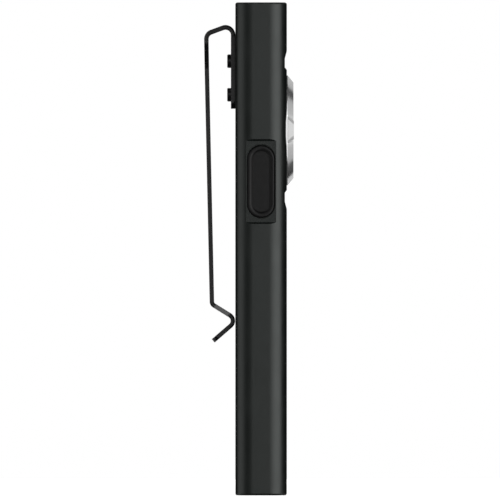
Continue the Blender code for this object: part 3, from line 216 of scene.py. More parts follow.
def corner_arc(back: Vector, corner: Vector, ahead: Vector, radius: float, steps: int) -> Outline:
    """Rounds one corner of a line.

    Args:
        back: The point before the corner.
        corner: The corner.
        ahead: The point after it.
        radius: The radius of the rounding.
        steps: Edges in the rounding.

    Returns:
        The arc's points, in the line's order.
    """
    to_back = (back - corner).normalized()
    to_ahead = (ahead - corner).normalized()
    half = to_back.angle(to_ahead) / 2
    centre = corner + (to_back + to_ahead).normalized() * radius / math.sin(half)
    start = corner + to_back * radius / math.tan(half) - centre
    side = 1 if to_back.x * to_ahead.y - to_back.y * to_ahead.x < 0 else -1
    sweep = (math.pi - 2 * half) * side
    points = []
    for step in range(steps + 1):
        cosine, sine = math.cos(sweep * step / steps), math.sin(sweep * step / steps)
        a = centre.x + start.x * cosine - start.y * sine
        b = centre.y + start.x * sine + start.y * cosine
        points.append((a, b))
    return points


def filleted(corners: list[tuple[float, float, float]], steps: int = 6) -> Outline:
    """A closed outline whose corners are rounded, each by its own radius.

    Args:
        corners: Points with the radius of each corner, which may be 0.
        steps: Edges in each rounded corner.

    Returns:
        The rounded outline.
    """
    sharp = [Vector(corner[:2]) for corner in corners]
    points = []
    for i, (a, b, radius) in enumerate(corners):
        if radius:
            points += corner_arc(sharp[i - 1], sharp[i], sharp[(i + 1) % len(sharp)], radius, steps)
        else:
            points.append((a, b))
    return points


def loft(rings: list[Ring], ladder: bool = False) -> bmesh.types.BMesh:
    """Skins rings of equally many points.

    Args:
        rings: The rings, in order.
        ladder: Caps the ends with rungs between mirrored points, so that they can bend.

    Returns:
        A closed skin.
    """
    bm = bmesh.new()
    rows = [[bm.verts.new(point) for point in ring] for ring in rings]
    for lower, upper in zip(rows, rows[1:]):
        for i in range(len(lower)):
            j = (i + 1) % len(lower)
            bm.faces.new((lower[i], lower[j], upper[j], upper[i]))
    for row in (rows[0], rows[-1]):
        if ladder:
            for i in range(len(row) // 2 - 1):
                bm.faces.new((row[i], row[i + 1], row[-2 - i], row[-1 - i]))
        else:
            bm.faces.new(row)
    bmesh.ops.recalc_face_normals(bm, faces=bm.faces)
    return bm


def stack(
    outline_at: Callable[[float], Outline],
    levels: Iterable[tuple[float, float]],
    axis: Axis,
    ladder: bool = False,
) -> bmesh.types.BMesh:
    """Stacks an outline at several insets and heights, for rounded or stepped edges.

    Args:
        outline_at: Gives the outline for an inset.
        levels: (inset, height) of each level.
        axis: The axis of the heights.
        ladder: Caps the ends with rungs.

    Returns:
        A closed skin.
    """
    rings = [[axis.place(a, b, height) for a, b in outline_at(inset)] for inset, height in levels]
    return loft(rings, ladder)


def prism(outline: Outline, axis: Axis, low: float, high: float) -> bmesh.types.BMesh:
    """A straight extrusion of an outline along an axis."""
    return stack(lambda _: outline, ((0, low), (0, high)), axis)


def turned(
    profile: Iterable[tuple[float, float]], axis: Axis, centre: tuple[float, float], steps: int = 96
) -> bmesh.types.BMesh:
    """Turns a profile about an axis, with flat ends.

    Args:
        profile: (radius, height) points.
        axis: The axis of the heights.
        centre: Where the axis lies, in the two other coordinates.
        steps: Edges round the axis.

    Returns:
        A closed skin.
    """
    rings = []
    for radius, height in profile:
        rings.append([axis.place(a, b, height) for a, b in circle(radius, centre, steps)])
    return loft(rings)


def edge_levels(
    radius: float, low: float, high: float, steps: int = 4
) -> list[tuple[float, float]]:
    """The levels of a plate whose two edges are rounded.

    Args:
        radius: The radius of its edges.
        low: Where the plate starts.
        high: Where it ends.
        steps: Edges in each rounding.

    Returns:
        (inset, height) of each level.
    """
    edge = []
    for angle in quarter_turn(steps):
        edge.append((radius * (1 - math.sin(angle)), radius * (1 - math.cos(angle))))
    lower = [(inset, low + rise) for inset, rise in edge]
    return lower + [(inset, high - rise) for inset, rise in reversed(edge)]


def loose_points(points: Iterable[Vec3]) -> bmesh.types.BMesh:
    """Makes points without faces, for items to be set at.

    Args:
        points: Where they lie.

    Returns:
        The points.
    """
    bm = bmesh.new()
    for point in points:
        bm.verts.new(point)
    return bm


def to_mesh(name: str, bm: bmesh.types.BMesh) -> bpy.types.Mesh:
    """Turns a bmesh into a mesh and frees it.

    Args:
        name: The mesh's name.
        bm: The bmesh, which is used up.

    Returns:
        The mesh.
    """
    mesh = bpy.data.meshes.new(name)
    bm.to_mesh(mesh)
    bm.free()
    return mesh


class Piece:
    """A visible mesh under construction, and the steps that finish it."""

    def __init__(self, name: str, shape: bmesh.types.BMesh | bpy.types.Mesh) -> None:
        """Makes the object.

        Args:
            name: The piece's name in the table of pieces.
            shape: Its first shape.
        """
        mesh = shape if isinstance(shape, bpy.types.Mesh) else to_mesh(name, shape)
        self.thing = bpy.data.objects.new(name, mesh)
        bpy.context.scene.collection.objects.link(self.thing)

    def apply(self) -> Piece:
        """Turns the evaluated modifiers into a plain mesh.

        Returns:
            The piece itself.
        """
        graph = bpy.context.evaluated_depsgraph_get()
        mesh = bpy.data.meshes.new_from_object(self.thing.evaluated_get(graph))
        self.thing.modifiers.clear()
        self.thing.data = mesh
        return self

    def combine(self, shape: bmesh.types.BMesh, operation: Boolean) -> Piece:
        """Cuts the piece with a helper shape, or adds the shape to it.

        Args:
            shape: The helper shape, which is used up.
            operation: What it does.

        Returns:
            The piece itself.
        """
        helper = Piece("helper", shape)
        modifier = self.thing.modifiers.new("combine", "BOOLEAN")
        modifier.operation = operation.value
        modifier.solver = "EXACT"
        modifier.object = helper.thing
        self.apply()
        helper.remove()
        return self

    def cut(self, *shapes: bmesh.types.BMesh) -> Piece:
        """Takes shapes out of the piece.

        Args:
            shapes: The shapes, which are used up.

        Returns:
            The piece itself.
        """
        for shape in shapes:
            self.combine(shape, Boolean.CUT)
        return self

    def join(self, *shapes: bmesh.types.BMesh) -> Piece:
        """Adds shapes to the piece.

        Args:
            shapes: The shapes, which are used up.

        Returns:
            The piece itself.
        """
        for shape in shapes:
            self.combine(shape, Boolean.JOIN)
        return self

    def break_edges(self, width: float, angle: float = 32.0, segments: int = 2) -> Piece:
        """Bevels the piece's sharp edges.

        Args:
            width: The bevel's width.
            angle: How sharp an edge is to be bevelled, in degrees.
            segments: Edges across the bevel.

        Returns:
            The piece itself.
        """
        modifier = self.thing.modifiers.new("broken_edges", "BEVEL")
        modifier.width = width
        modifier.segments = segments
        modifier.limit_method = "ANGLE"
        modifier.angle_limit = math.radians(angle)
        modifier.miter_outer = "MITER_ARC"
        return self.apply()

    def smooth(self, angle: float = 30.0, weighted: bool = True) -> Piece:
        """Shades the piece smooth, except across its sharp edges.

        Args:
            angle: How sharp an edge is to stay sharp, in degrees.
            weighted: Keeps flats flat next to small roundings.

        Returns:
            The piece itself.
        """
        self.thing.data.shade_smooth()
        self.thing.data.set_sharp_from_angle(angle=math.radians(angle))
        if weighted:
            self.thing.modifiers.new("weighted", "WEIGHTED_NORMAL").keep_sharp = True
            self.apply()
        return self

    def dress(self, material: bpy.types.Material) -> Piece:
        """Gives the whole piece one material.

        Args:
            material: The material.

        Returns:
            The piece itself.
        """
        self.thing.data.materials.clear()
        self.thing.data.materials.append(material)
        return self

    def dress_where(
        self, material: bpy.types.Material, test: Callable[[Vector, Vector], bool]
    ) -> Piece:
        """Gives a second material to some faces.

        Args:
            material: The second material.
            test: Tells from a face's centre and normal whether it takes it.

        Returns:
            The piece itself.
        """
        self.thing.data.materials.append(material)
        for face in self.thing.data.polygons:
            if test(face.center, face.normal):
                face.material_index = 1
        return self

    def hand_over(self, slot: str, carrier: Body | Bend, *nodes: str) -> None:
        """Attaches the piece to the body that carries it, or for a bend only bakes its place into
        its mesh, and hides the solids that it stands for.

        Args:
            slot: Not used.
            carrier: The body that the piece rides on, or a bend between two bodies, for which the
                piece stays unattached.
            nodes: The solids that it stands for, if any.
        """
        if isinstance(carrier, Bend):
            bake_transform(self.thing)
        else:
            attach(self.thing, carrier.value)
        if nodes:
            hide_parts(*nodes)
        faces = len(self.thing.data.polygons)
        LOG.info("%s: %d faces, for %s", self.thing.name, faces, ", ".join(nodes) or "no solid")

    def remove(self) -> None:
        """Takes the piece out of the scene."""
        bpy.data.objects.remove(self.thing)


# Node trees


class Nodes:
    """Adds nodes to a tree, with their settings, values and links in one call each."""

    def __init__(self, tree: bpy.types.NodeTree) -> None:
        """Keeps the tree."""
        self.tree = tree

    def add(
        self, kind: str, inputs: dict[str | int, object] | None = None, **settings: object
    ) -> bpy.types.Node:
        """Adds one node.

        Args:
            kind: The node's type.
            inputs: A value, or another node's output, for each named or numbered input.
            settings: The node's own settings.

        Returns:
            The node.
        """
        node = self.tree.nodes.new(kind)
        for key, value in settings.items():
            setattr(node, key, value)
        for key, value in (inputs or {}).items():
            if isinstance(value, bpy.types.NodeSocket):
                self.tree.links.new(value, node.inputs[key])
            else:
                node.inputs[key].default_value = value
        return node

    def maths(
        self, operation: str, *values: object, clamp: bool = False
    ) -> bpy.types.NodeSocket:
        """A Math node's result."""
        inputs = dict(enumerate(values))
        return self.add("ShaderNodeMath", inputs, operation=operation, use_clamp=clamp).outputs[0]

    def spread(
        self, value: object, low: float, high: float, to_low: float, to_high: float
    ) -> bpy.types.NodeSocket:
        """Moves a value from one range to another, and keeps it in it.

        Args:
            value: The value.
            low: Where the first range starts.
            high: Where it ends.
            to_low: Where the second range starts.
            to_high: Where it ends.

        Returns:
            The moved value.
        """
        keys = ("Value", "From Min", "From Max", "To Min", "To Max")
        inputs = dict(zip(keys, (value, low, high, to_low, to_high)))
        return self.add("ShaderNodeMapRange", inputs).outputs[0]

    def mix(self, factor: object, first: object, second: object) -> bpy.types.NodeSocket:
        """A number between two, which a Mix node takes at its sockets 2 and 3."""
        inputs = {0: factor, 2: first, 3: second}
        return self.add("ShaderNodeMix", inputs, data_type="FLOAT").outputs[0]

    def mix_colours(self, factor: object, first: Colour, second: Colour) -> bpy.types.NodeSocket:
        """A colour between two, which a Mix node takes at its sockets 6 and 7."""
        inputs = {0: factor, 6: (*first, 1.0), 7: (*second, 1.0)}
        return self.add("ShaderNodeMix", inputs, data_type="RGBA").outputs[2]

    def place(self) -> bpy.types.NodeSocket:
        """The Object coordinates of the point that is shaded."""
        return self.add("ShaderNodeTexCoord").outputs["Object"]

    def parts(self, vector: bpy.types.NodeSocket) -> bpy.types.bpy_prop_collection:
        """A vector's X, Y and Z."""
        return self.add("ShaderNodeSeparateXYZ", {0: vector}).outputs

    def vector_maths(
        self, operation: str, *values: object, output: str = "Vector"
    ) -> bpy.types.NodeSocket:
        """A Vector Math node's result."""
        inputs = dict(enumerate(values))
        return self.add("ShaderNodeVectorMath", inputs, operation=operation).outputs[output]


def new_material(
    name: str, values: dict[str, object]
) -> tuple[bpy.types.Material, Nodes, bpy.types.Node]:
    """Makes a material, with constant values on its shader's own sockets.

    Args:
        name: The material's name.
        values: The value of each named socket.

    Returns:
        The material, its nodes and its shader.
    """
    material = bpy.data.materials.new(name)
    material.use_nodes = True
    shader = material.node_tree.nodes["Principled BSDF"]
    for key, value in values.items():
        shader.inputs[key].default_value = value
    return material, Nodes(material.node_tree), shader


class Effect(Enum):
    """The surface effects that several finishes share."""

    GRAIN = "surface_grain"
    PATCHES = "uneven_patches"
    TURNED = "turned_lines"
    DRAWN = "drawn_lines"
    TURNED_AWAY = "turned_away"


class EffectGroup:
    """A shader group under construction, with named inputs and one value output."""

    def __init__(self, effect: Effect, output: str, **inputs: float | Vec3) -> None:
        """Makes the group's sockets.

        Args:
            effect: Which group.
            output: The output's name.
            inputs: Each input's first value, with underscores for spaces in its name.
        """
        self.tree = bpy.data.node_groups.new(effect.value, "ShaderNodeTree")
        sockets = self.tree.interface
        for name, value in inputs.items():
            kind = "NodeSocketVector" if isinstance(value, tuple) else "NodeSocketFloat"
            label = name.replace("_", " ")
            sockets.new_socket(label, in_out="INPUT", socket_type=kind).default_value = value
        sockets.new_socket(output, in_out="OUTPUT", socket_type="NodeSocketFloat")
        self.nodes = Nodes(self.tree)
        self.given = self.nodes.add("NodeGroupInput").outputs
        self.end = self.nodes.add("NodeGroupOutput")

    def close(self, result: bpy.types.NodeSocket) -> bpy.types.NodeTree:
        """Links the group's result and gives its tree."""
        self.tree.links.new(result, self.end.inputs[0])
        return self.tree

    def close_relief(self, noise: bpy.types.Node) -> bpy.types.NodeTree:
        """Ends the group in a noise, centred on nothing and scaled by the group's Depth."""
        centred = self.nodes.maths("SUBTRACT", noise.outputs[0], 0.5)
        return self.close(self.nodes.maths("MULTIPLY", centred, self.given["Depth"]))


def grain_group() -> bpy.types.NodeTree:
    """Makes fine even roughness, as blasting or moulding leaves it.

    Returns:
        The group, whose output is a height in millimetres.
    """
    group = EffectGroup(Effect.GRAIN, "Height", Scale=8000.0, Depth=0.002)
    inputs = {"Vector": group.nodes.place(), "Scale": group.given["Scale"], "Detail": 3.0}
    return group.close_relief(group.nodes.add("ShaderNodeTexNoise", {**inputs, "Roughness": 0.6}))


def patches_group() -> bpy.types.NodeTree:
    """Makes soft clouds between two values, for uneven shade or polish.

    Returns:
        The group, whose output is between its Low and its High.
    """
    group = EffectGroup(Effect.PATCHES, "Value", Scale=60.0, Low=0.0, High=1.0)
    nodes, given = group.nodes, group.given
    inputs = {"Vector": nodes.place(), "Scale": given["Scale"], "Detail": 4.0}
    noise = nodes.add("ShaderNodeTexNoise", inputs).outputs[0]
    bottom, top = 0.3, 0.7  # nearly all of the noise lies between them
    return group.close(nodes.spread(noise, bottom, top, given["Low"], given["High"]))


def turned_lines_group() -> bpy.types.NodeTree:
    """Makes the rings that a turning tool leaves, round an axis along X.

    Returns:
        The group, whose output is a height in millimetres.
    """
    first = {"Centre": (0.0, 0.0, 0.0), "Lines_per_metre": 4000.0, "Depth": 0.003}
    group = EffectGroup(Effect.TURNED, "Height", **first)
    nodes, given = group.nodes, group.given
    parts = nodes.parts(nodes.vector_maths("SUBTRACT", nodes.place(), given["Centre"]))
    across = nodes.add("ShaderNodeCombineXYZ", {"Y": parts["Y"], "Z": parts["Z"]}).outputs[0]
    radius = nodes.vector_maths("LENGTH", across, output="Value")
    count = nodes.maths("MULTIPLY", radius, given["Lines per metre"])
    inputs = {"W": count, "Scale": 1.0, "Detail": 1.0}
    return group.close_relief(nodes.add("ShaderNodeTexNoise", inputs, noise_dimensions="1D"))


def drawn_lines_group() -> bpy.types.NodeTree:
    """Makes fine lines along a direction, as drawing or brushing leaves them.

    Returns:
        The group, whose output is a height in millimetres.
    """
    group = EffectGroup(Effect.DRAWN, "Height", Stretch=(6000.0, 6000.0, 60.0), Depth=0.001)
    stretched = group.nodes.vector_maths("MULTIPLY", group.nodes.place(), group.given["Stretch"])
    inputs = {"Vector": stretched, "Scale": 1.0, "Detail": 2.0}
    return group.close_relief(group.nodes.add("ShaderNodeTexNoise", inputs))


def turned_away_group() -> bpy.types.NodeTree:
    """Measures how far a surface is turned from the port's side, -Y.

    Returns:
        The group, whose output is 0 at its Start and 1 at its End.
    """
    group = EffectGroup(Effect.TURNED_AWAY, "Value", Start=-0.5, End=0.0)
    nodes, given = group.nodes, group.given
    along = nodes.parts(nodes.add("ShaderNodeTexCoord").outputs["Normal"])["Y"]
    return group.close(nodes.spread(along, given["Start"], given["End"], 0.0, 1.0))


EFFECT_MAKERS: dict[Effect, Callable[[], bpy.types.NodeTree]] = {
    Effect.GRAIN: grain_group,
    Effect.PATCHES: patches_group,
    Effect.TURNED: turned_lines_group,
    Effect.DRAWN: drawn_lines_group,
    Effect.TURNED_AWAY: turned_away_group,
}


class Effects:
    """Makes each shared shader group once and places it in materials."""

    def __init__(self) -> None:
        """Starts with no groups."""
        self.groups: dict[Effect, bpy.types.NodeTree] = {}

    def place(self, nodes: Nodes, effect: Effect, **values: object) -> bpy.types.NodeSocket:
        """Places a group in a material.

        Args:
            nodes: The material's nodes.
            effect: Which group.
            values: Its inputs, with underscores for spaces.

        Returns:
            The group's output.
        """
        if effect not in self.groups:
            self.groups[effect] = EFFECT_MAKERS[effect]()
        named = {key.replace("_", " "): value for key, value in values.items()}
        return nodes.add("ShaderNodeGroup", named, node_tree=self.groups[effect]).outputs[0]


# Finishes


@dataclass(frozen=True)
class SolidFinish:
    """An opaque finish: a colour and polish that vary softly, over a fine relief."""

    colour: Colour
    roughness: float
    metallic: float = 0.0
    specular: float = 0.5
    shade_spread: float = 0.1
    roughness_spread: float = 0.03
    patch_scale: float = 70.0
    polish_scale: float = 2.3  # how much finer the patches in the polish are
    grain_scale: float = 8000.0
    grain_depth: float = 0.0015
    tint: Colour = (1.0, 1.0, 1.0)
    coat: float = 0.0
    coat_roughness: float = 0.1

    def build(self, name: str, effects: Effects) -> bpy.types.Material:
        """Makes the material.

        Args:
            name: The material's name.
            effects: The shared effects.

        Returns:
            The material.
        """
        values = {
            "Metallic": self.metallic,
            "Specular IOR Level": self.specular,
            "Specular Tint": (*self.tint, 1.0),
            "Coat Weight": self.coat,
            "Coat Roughness": self.coat_roughness,
        }
        material, nodes, shader = new_material(name, values)
        link = material.node_tree.links.new
        link(self.shade(nodes, effects), shader.inputs["Base Color"])
        link(self.polish(nodes, effects), shader.inputs["Roughness"])
        relief = {"Strength": 1.0, "Distance": MM, "Height": self.relief(nodes, effects)}
        link(nodes.add("ShaderNodeBump", relief).outputs[0], shader.inputs["Normal"])
        return material

    def shade(self, nodes: Nodes, effects: Effects) -> bpy.types.NodeSocket:
        """Varies the colour, a little lighter and darker in soft patches.

        Args:
            nodes: The material's nodes.
            effects: The shared effects.

        Returns:
            The colour.
        """
        patches = effects.place(nodes, Effect.PATCHES, Scale=self.patch_scale, Low=0.0, High=1.0)
        low, high = 1 - self.shade_spread, 1 + self.shade_spread
        return nodes.mix_colours(patches, self.toned(low), self.toned(high))

    def polish(self, nodes: Nodes, effects: Effects) -> bpy.types.NodeSocket:
        """Varies the roughness, as the colour does but elsewhere.

        Args:
            nodes: The material's nodes.
            effects: The shared effects.

        Returns:
            The roughness.
        """
        low, high = self.roughness - self.roughness_spread, self.roughness + self.roughness_spread
        scale = self.polish_scale * self.patch_scale
        return effects.place(nodes, Effect.PATCHES, Scale=scale, Low=low, High=high)

    def relief(self, nodes: Nodes, effects: Effects) -> bpy.types.NodeSocket:
        """The surface's height, in millimetres."""
        return effects.place(nodes, Effect.GRAIN, Scale=self.grain_scale, Depth=self.grain_depth)

    def toned(self, share: float) -> Colour:
        """The colour, lighter or darker."""
        return tuple(min(1.0, channel * share) for channel in self.colour)


@dataclass(frozen=True)
class TurnedFinish(SolidFinish):
    """A turned metal, with rings round an axis along X."""

    centre: Vec3 = (0.0, 0.0, 0.0)
    lines_per_metre: float = 4000.0
    line_depth: float = 0.002

    def relief(self, nodes: Nodes, effects: Effects) -> bpy.types.NodeSocket:
        """Adds the tool's rings to the grain.

        Args:
            nodes: The material's nodes.
            effects: The shared effects.

        Returns:
            The surface's height, in millimetres.
        """
        rings = {"Lines_per_metre": self.lines_per_metre, "Depth": self.line_depth}
        lines = effects.place(nodes, Effect.TURNED, Centre=self.centre, **rings)
        return nodes.maths("ADD", lines, super().relief(nodes, effects))


@dataclass(frozen=True)
class DrawnFinish(SolidFinish):
    """A drawn, brushed or extruded surface, with fine lines in one direction."""

    stretch: Vec3 = (6000.0, 6000.0, 60.0)
    line_depth: float = 0.001

    def relief(self, nodes: Nodes, effects: Effects) -> bpy.types.NodeSocket:
        """The grain and the drawn lines."""
        lines = effects.place(nodes, Effect.DRAWN, Stretch=self.stretch, Depth=self.line_depth)
        return nodes.maths("ADD", lines, super().relief(nodes, effects))


@dataclass(frozen=True)
class CaseFinish(DrawnFinish):
    """A drawn finish that is softer and brighter on the sides turned from the port."""

    away: tuple[float, float] = (-0.45, -0.05)  # the normal's Y where that starts and ends
    away_roughness: float = 0.5
    away_coat: float = 1.0

    def build(self, name: str, effects: Effects) -> bpy.types.Material:
        """Makes the material, with a soft coat on the sides turned from the port.

        Args:
            name: The material's name.
            effects: The shared effects.

        Returns:
            The material.
        """
        material = super().build(name, effects)
        tree = material.node_tree
        coat = self.varied(Nodes(tree), effects, self.coat, self.away_coat)
        tree.links.new(coat, tree.nodes["Principled BSDF"].inputs["Coat Weight"])
        return material

    def polish(self, nodes: Nodes, effects: Effects) -> bpy.types.NodeSocket:
        """The roughness, softer on the sides turned from the port."""
        return self.varied(nodes, effects, super().polish(nodes, effects), self.away_roughness)

    def varied(
        self, nodes: Nodes, effects: Effects, near: object, far: float
    ) -> bpy.types.NodeSocket:
        """Changes a value from the port's side to the others.

        Args:
            nodes: The material's nodes.
            effects: The shared effects.
            near: The value on the port's side.
            far: The value on the others.

        Returns:
            The value at the point that is shaded.
        """
        start, end = self.away
        share = effects.place(nodes, Effect.TURNED_AWAY, Start=start, End=end)
        return nodes.mix(share, near, far)


@dataclass(frozen=True)
class FoamFinish(SolidFinish):
    """Open foam, with small cells."""

    cell_scale: float = 1600.0
    cell_depth: float = 0.25

    def relief(self, nodes: Nodes, effects: Effects) -> bpy.types.NodeSocket:
        """Makes round cells that meet in thin walls.

        Args:
            nodes: The material's nodes.
            effects: The shared effects.

        Returns:
            The surface's height, in millimetres.
        """
        inputs = {"Vector": nodes.place(), "Scale": self.cell_scale}
        cells = nodes.add("ShaderNodeTexVoronoi", inputs)
        return nodes.maths("MULTIPLY", cells.outputs["Distance"], self.cell_depth)


@dataclass(frozen=True)
class BoardFinish(SolidFinish):
    """Solder mask over copper tracks."""

    track: Colour = (0.006, 0.03, 0.012)
    track_scale: float = 380.0
    track_edge: tuple[float, float] = (0.42, 0.5)

    def shade(self, nodes: Nodes, effects: Effects) -> bpy.types.NodeSocket:
        """Makes a lighter green where a track runs under the mask.

        Args:
            nodes: The material's nodes.
            effects: The shared effects.

        Returns:
            The colour.
        """
        inputs = {"Vector": nodes.place(), "Scale": self.track_scale}
        cells = nodes.add("ShaderNodeTexVoronoi", inputs, feature="F1", distance="MANHATTAN")
        edge = nodes.spread(cells.outputs["Distance"], *self.track_edge, 0.0, 1.0)
        return nodes.mix_colours(edge, self.colour, self.track)


@dataclass(frozen=True)
class EmitterFinish(SolidFinish):
    """A yellow phosphor square on a white ceramic base, repeated along Y."""

    base: Colour = (0.8, 0.8, 0.76)
    pitch: float = 8.2 * MM
    half_size: float = 0.95 * MM
    fade: float = 0.1 * MM

    def shade(self, nodes: Nodes, effects: Effects) -> bpy.types.NodeSocket:
        """Makes yellow inside the square and white outside it.

        Args:
            nodes: The material's nodes.
            effects: The shared effects.

        Returns:
            The colour.
        """
        parts = nodes.parts(nodes.place())
        wrapped = nodes.maths("WRAP", parts["Y"], self.pitch / 2, -self.pitch / 2)
        across, along = nodes.maths("ABSOLUTE", parts["X"]), nodes.maths("ABSOLUTE", wrapped)
        widest = nodes.maths("MAXIMUM", along, across)
        edge = nodes.spread(widest, self.half_size, self.half_size + self.fade, 0.0, 1.0)
        return nodes.mix_colours(edge, self.colour, self.base)


@dataclass(frozen=True)
class ClearFinish:
    """Clear glass or acrylic, with faint handling marks in its polish."""

    colour: Colour
    ior: float
    roughness: float = 0.01
    smear: float = 0.03
    smear_scale: float = 160.0

    def build(self, name: str, effects: Effects) -> bpy.types.Material:
        """Makes the material.

        Args:
            name: The material's name.
            effects: The shared effects.

        Returns:
            The material.
        """
        values = {"Base Color": (*self.colour, 1.0), "IOR": self.ior, "Transmission Weight": 1.0}
        material, nodes, shader = new_material(name, values)
        marks = {"Low": self.roughness, "High": self.roughness + self.smear}
        polish = effects.place(nodes, Effect.PATCHES, Scale=self.smear_scale, **marks)
        material.node_tree.links.new(polish, shader.inputs["Roughness"])
        return material


BLACK_CASE: Colour = (0.0012, 0.0022, 0.0018)
CASE_TINT: Colour = (0.95, 1.0, 0.975)

FINISHES: dict[str, SolidFinish | ClearFinish] = {
    "body_anodised": CaseFinish(
        BLACK_CASE,
        0.37,
        tint=CASE_TINT,
        coat_roughness=0.5,
        grain_depth=0.0012,
        line_depth=0.0006,
    ),
    "body_milled": SolidFinish(BLACK_CASE, 0.27, tint=CASE_TINT, grain_depth=0.0006),
    "clip_spring_steel": DrawnFinish(
        (0.0012, 0.0012, 0.0012), 0.2, grain_depth=0.0012, line_depth=0.0006
    ),
    "black_screw": SolidFinish((0.004, 0.004, 0.004), 0.3, grain_depth=0.001),
    "black_rubber": SolidFinish(
        (0.003, 0.003, 0.003), 0.43, specular=0.21, grain_scale=5000.0, grain_depth=0.004
    ),
    "polished_nickel": TurnedFinish(
        (0.86, 0.86, 0.86),
        0.2,
        1.0,
        shade_spread=0.02,
        grain_depth=0.0004,
        centre=DIAL_CENTRE,
        line_depth=0.0025,
    ),
    "plain_steel": SolidFinish(
        (0.56, 0.56, 0.57), 0.28, 1.0, shade_spread=0.05, grain_depth=0.001
    ),
    "magnet_nickel": SolidFinish(
        (0.62, 0.61, 0.58), 0.16, 1.0, shade_spread=0.03, grain_depth=0.0005
    ),
    "brass": TurnedFinish((0.72, 0.55, 0.26), 0.25, 1.0, centre=DIAL_CENTRE),
    "bare_aluminium": DrawnFinish(
        (0.7, 0.7, 0.71), 0.34, 1.0, stretch=(400.0, 6000.0, 6000.0), line_depth=0.002
    ),
    "battery_foil": SolidFinish(
        (0.62, 0.63, 0.65), 0.3, 1.0, grain_scale=500.0, grain_depth=0.02
    ),
    "white_plastic": SolidFinish((0.8, 0.8, 0.77), 0.45, shade_spread=0.03),
    "black_plastic": SolidFinish(
        (0.02, 0.02, 0.02), 0.5, grain_scale=6000.0, grain_depth=0.004
    ),
    "chip_plastic": SolidFinish(
        (0.025, 0.025, 0.027), 0.55, grain_scale=9000.0, grain_depth=0.003
    ),
    "ferrite": SolidFinish((0.09, 0.09, 0.09), 0.7, grain_scale=7000.0, grain_depth=0.01),
    "red_insulation": SolidFinish((0.5, 0.02, 0.02), 0.35, shade_spread=0.05, coat=0.2),
    "black_insulation": SolidFinish((0.015, 0.015, 0.015), 0.35, coat=0.2),
    "green_board": BoardFinish((0.003, 0.013, 0.006), 0.3, coat=0.3),
    "led_phosphor": EmitterFinish((0.85, 0.62, 0.08), 0.4, shade_spread=0.04),
    "grey_foam": FoamFinish((0.12, 0.12, 0.12), 0.9, specular=0.2),
    "window_glass": ClearFinish((0.98, 0.99, 0.99), 1.5),
    "clear_optic": ClearFinish((0.97, 0.975, 0.98), 1.49, roughness=0.02),
}


class Finisher:
    """Makes each finish's material once."""

    def __init__(self) -> None:
        """Starts with no materials."""
        self.effects = Effects()
        self.made: dict[str, bpy.types.Material] = {}

    def of(self, slot: str) -> bpy.types.Material:
        """Finds a slot's material, which is made when it is first asked for.

        Args:
            slot: The slot's name.

        Returns:
            The material.
        """
        if slot not in self.made:
            self.made[slot] = FINISHES[slot].build(slot, self.effects)
        return self.made[slot]


# Geometry Nodes


class SocketKind(Enum):
    """The kinds of input that the geometry trees take."""

    OBJECT = "NodeSocketObject"
    MATERIAL = "NodeSocketMaterial"
    ROTATION = "NodeSocketRotation"
    FLOAT = "NodeSocketFloat"
    INT = "NodeSocketInt"


class GeometryTree:
    """A geometry tree with named inputs, and the modifier that runs it."""

    def __init__(self, name: str, inputs: dict[str, SocketKind]) -> None:
        """Makes the tree's sockets.

        Args:
            name: The tree's name.
            inputs: The kind of each named input.
        """
        self.tree = bpy.data.node_groups.new(name, "GeometryNodeTree")
        new_socket = self.tree.interface.new_socket
        new_socket("Geometry", in_out="INPUT", socket_type="NodeSocketGeometry")
        self.sockets = {
            label: new_socket(label, in_out="INPUT", socket_type=kind.value).identifier
            for label, kind in inputs.items()
        }
        new_socket("Geometry", in_out="OUTPUT", socket_type="NodeSocketGeometry")
        self.nodes = Nodes(self.tree)
        self.given = self.nodes.add("NodeGroupInput").outputs
        self.end = self.nodes.add("NodeGroupOutput")

    def close(self, geometry: bpy.types.NodeSocket, material: str) -> None:
        """Ends the tree in real geometry with its material set.

        Args:
            geometry: The tree's result.
            material: The name of the input that holds the material.
        """
        real = self.nodes.add("GeometryNodeRealizeInstances", {0: geometry}).outputs[0]
        inputs = {"Geometry": real, "Material": self.given[material]}
        dressed = self.nodes.add("GeometryNodeSetMaterial", inputs).outputs[0]
        self.tree.links.new(dressed, self.end.inputs[0])

    def run(self, piece: Piece, **values: object) -> Piece:
        """Runs the tree on a piece and keeps the result as its plain mesh.

        Args:
            piece: The piece, whose mesh is the tree's input.
            values: The tree's inputs, with underscores for spaces.

        Returns:
            The piece itself.
        """
        modifier = piece.thing.modifiers.new(self.tree.name, "NODES")
        modifier.node_group = self.tree
        for key, value in values.items():
            modifier[self.sockets[key.replace("_", " ")]] = value
        return piece.apply()


def repeat_tree() -> GeometryTree:
    """Makes the tree that sets one item at each point, turned to an axis and spun about it.

    Returns:
        The tree.
    """
    kinds = {
        "Item": SocketKind.OBJECT,
        "Turn": SocketKind.ROTATION,
        "Spin": SocketKind.FLOAT,
        "Seed": SocketKind.INT,
        "Finish": SocketKind.MATERIAL,
    }
    tree = GeometryTree("items_at_points", kinds)
    nodes, given = tree.nodes, tree.given
    item = nodes.add("GeometryNodeObjectInfo", {"Object": given["Item"]}).outputs["Geometry"]
    inputs = {"Points": given["Geometry"], "Instance": item, "Rotation": given["Turn"]}
    placed = nodes.add("GeometryNodeInstanceOnPoints", inputs).outputs[0]
    chance = {"Max": given["Spin"], "Seed": given["Seed"]}
    spin = nodes.add("FunctionNodeRandomValue", chance, data_type="FLOAT").outputs["Value"]
    about = nodes.add("ShaderNodeCombineXYZ", {"Z": spin}).outputs[0]
    inputs = {"Instances": placed, "Rotation": about}
    tree.close(nodes.add("GeometryNodeRotateInstances", inputs).outputs[0], "Finish")
    return tree


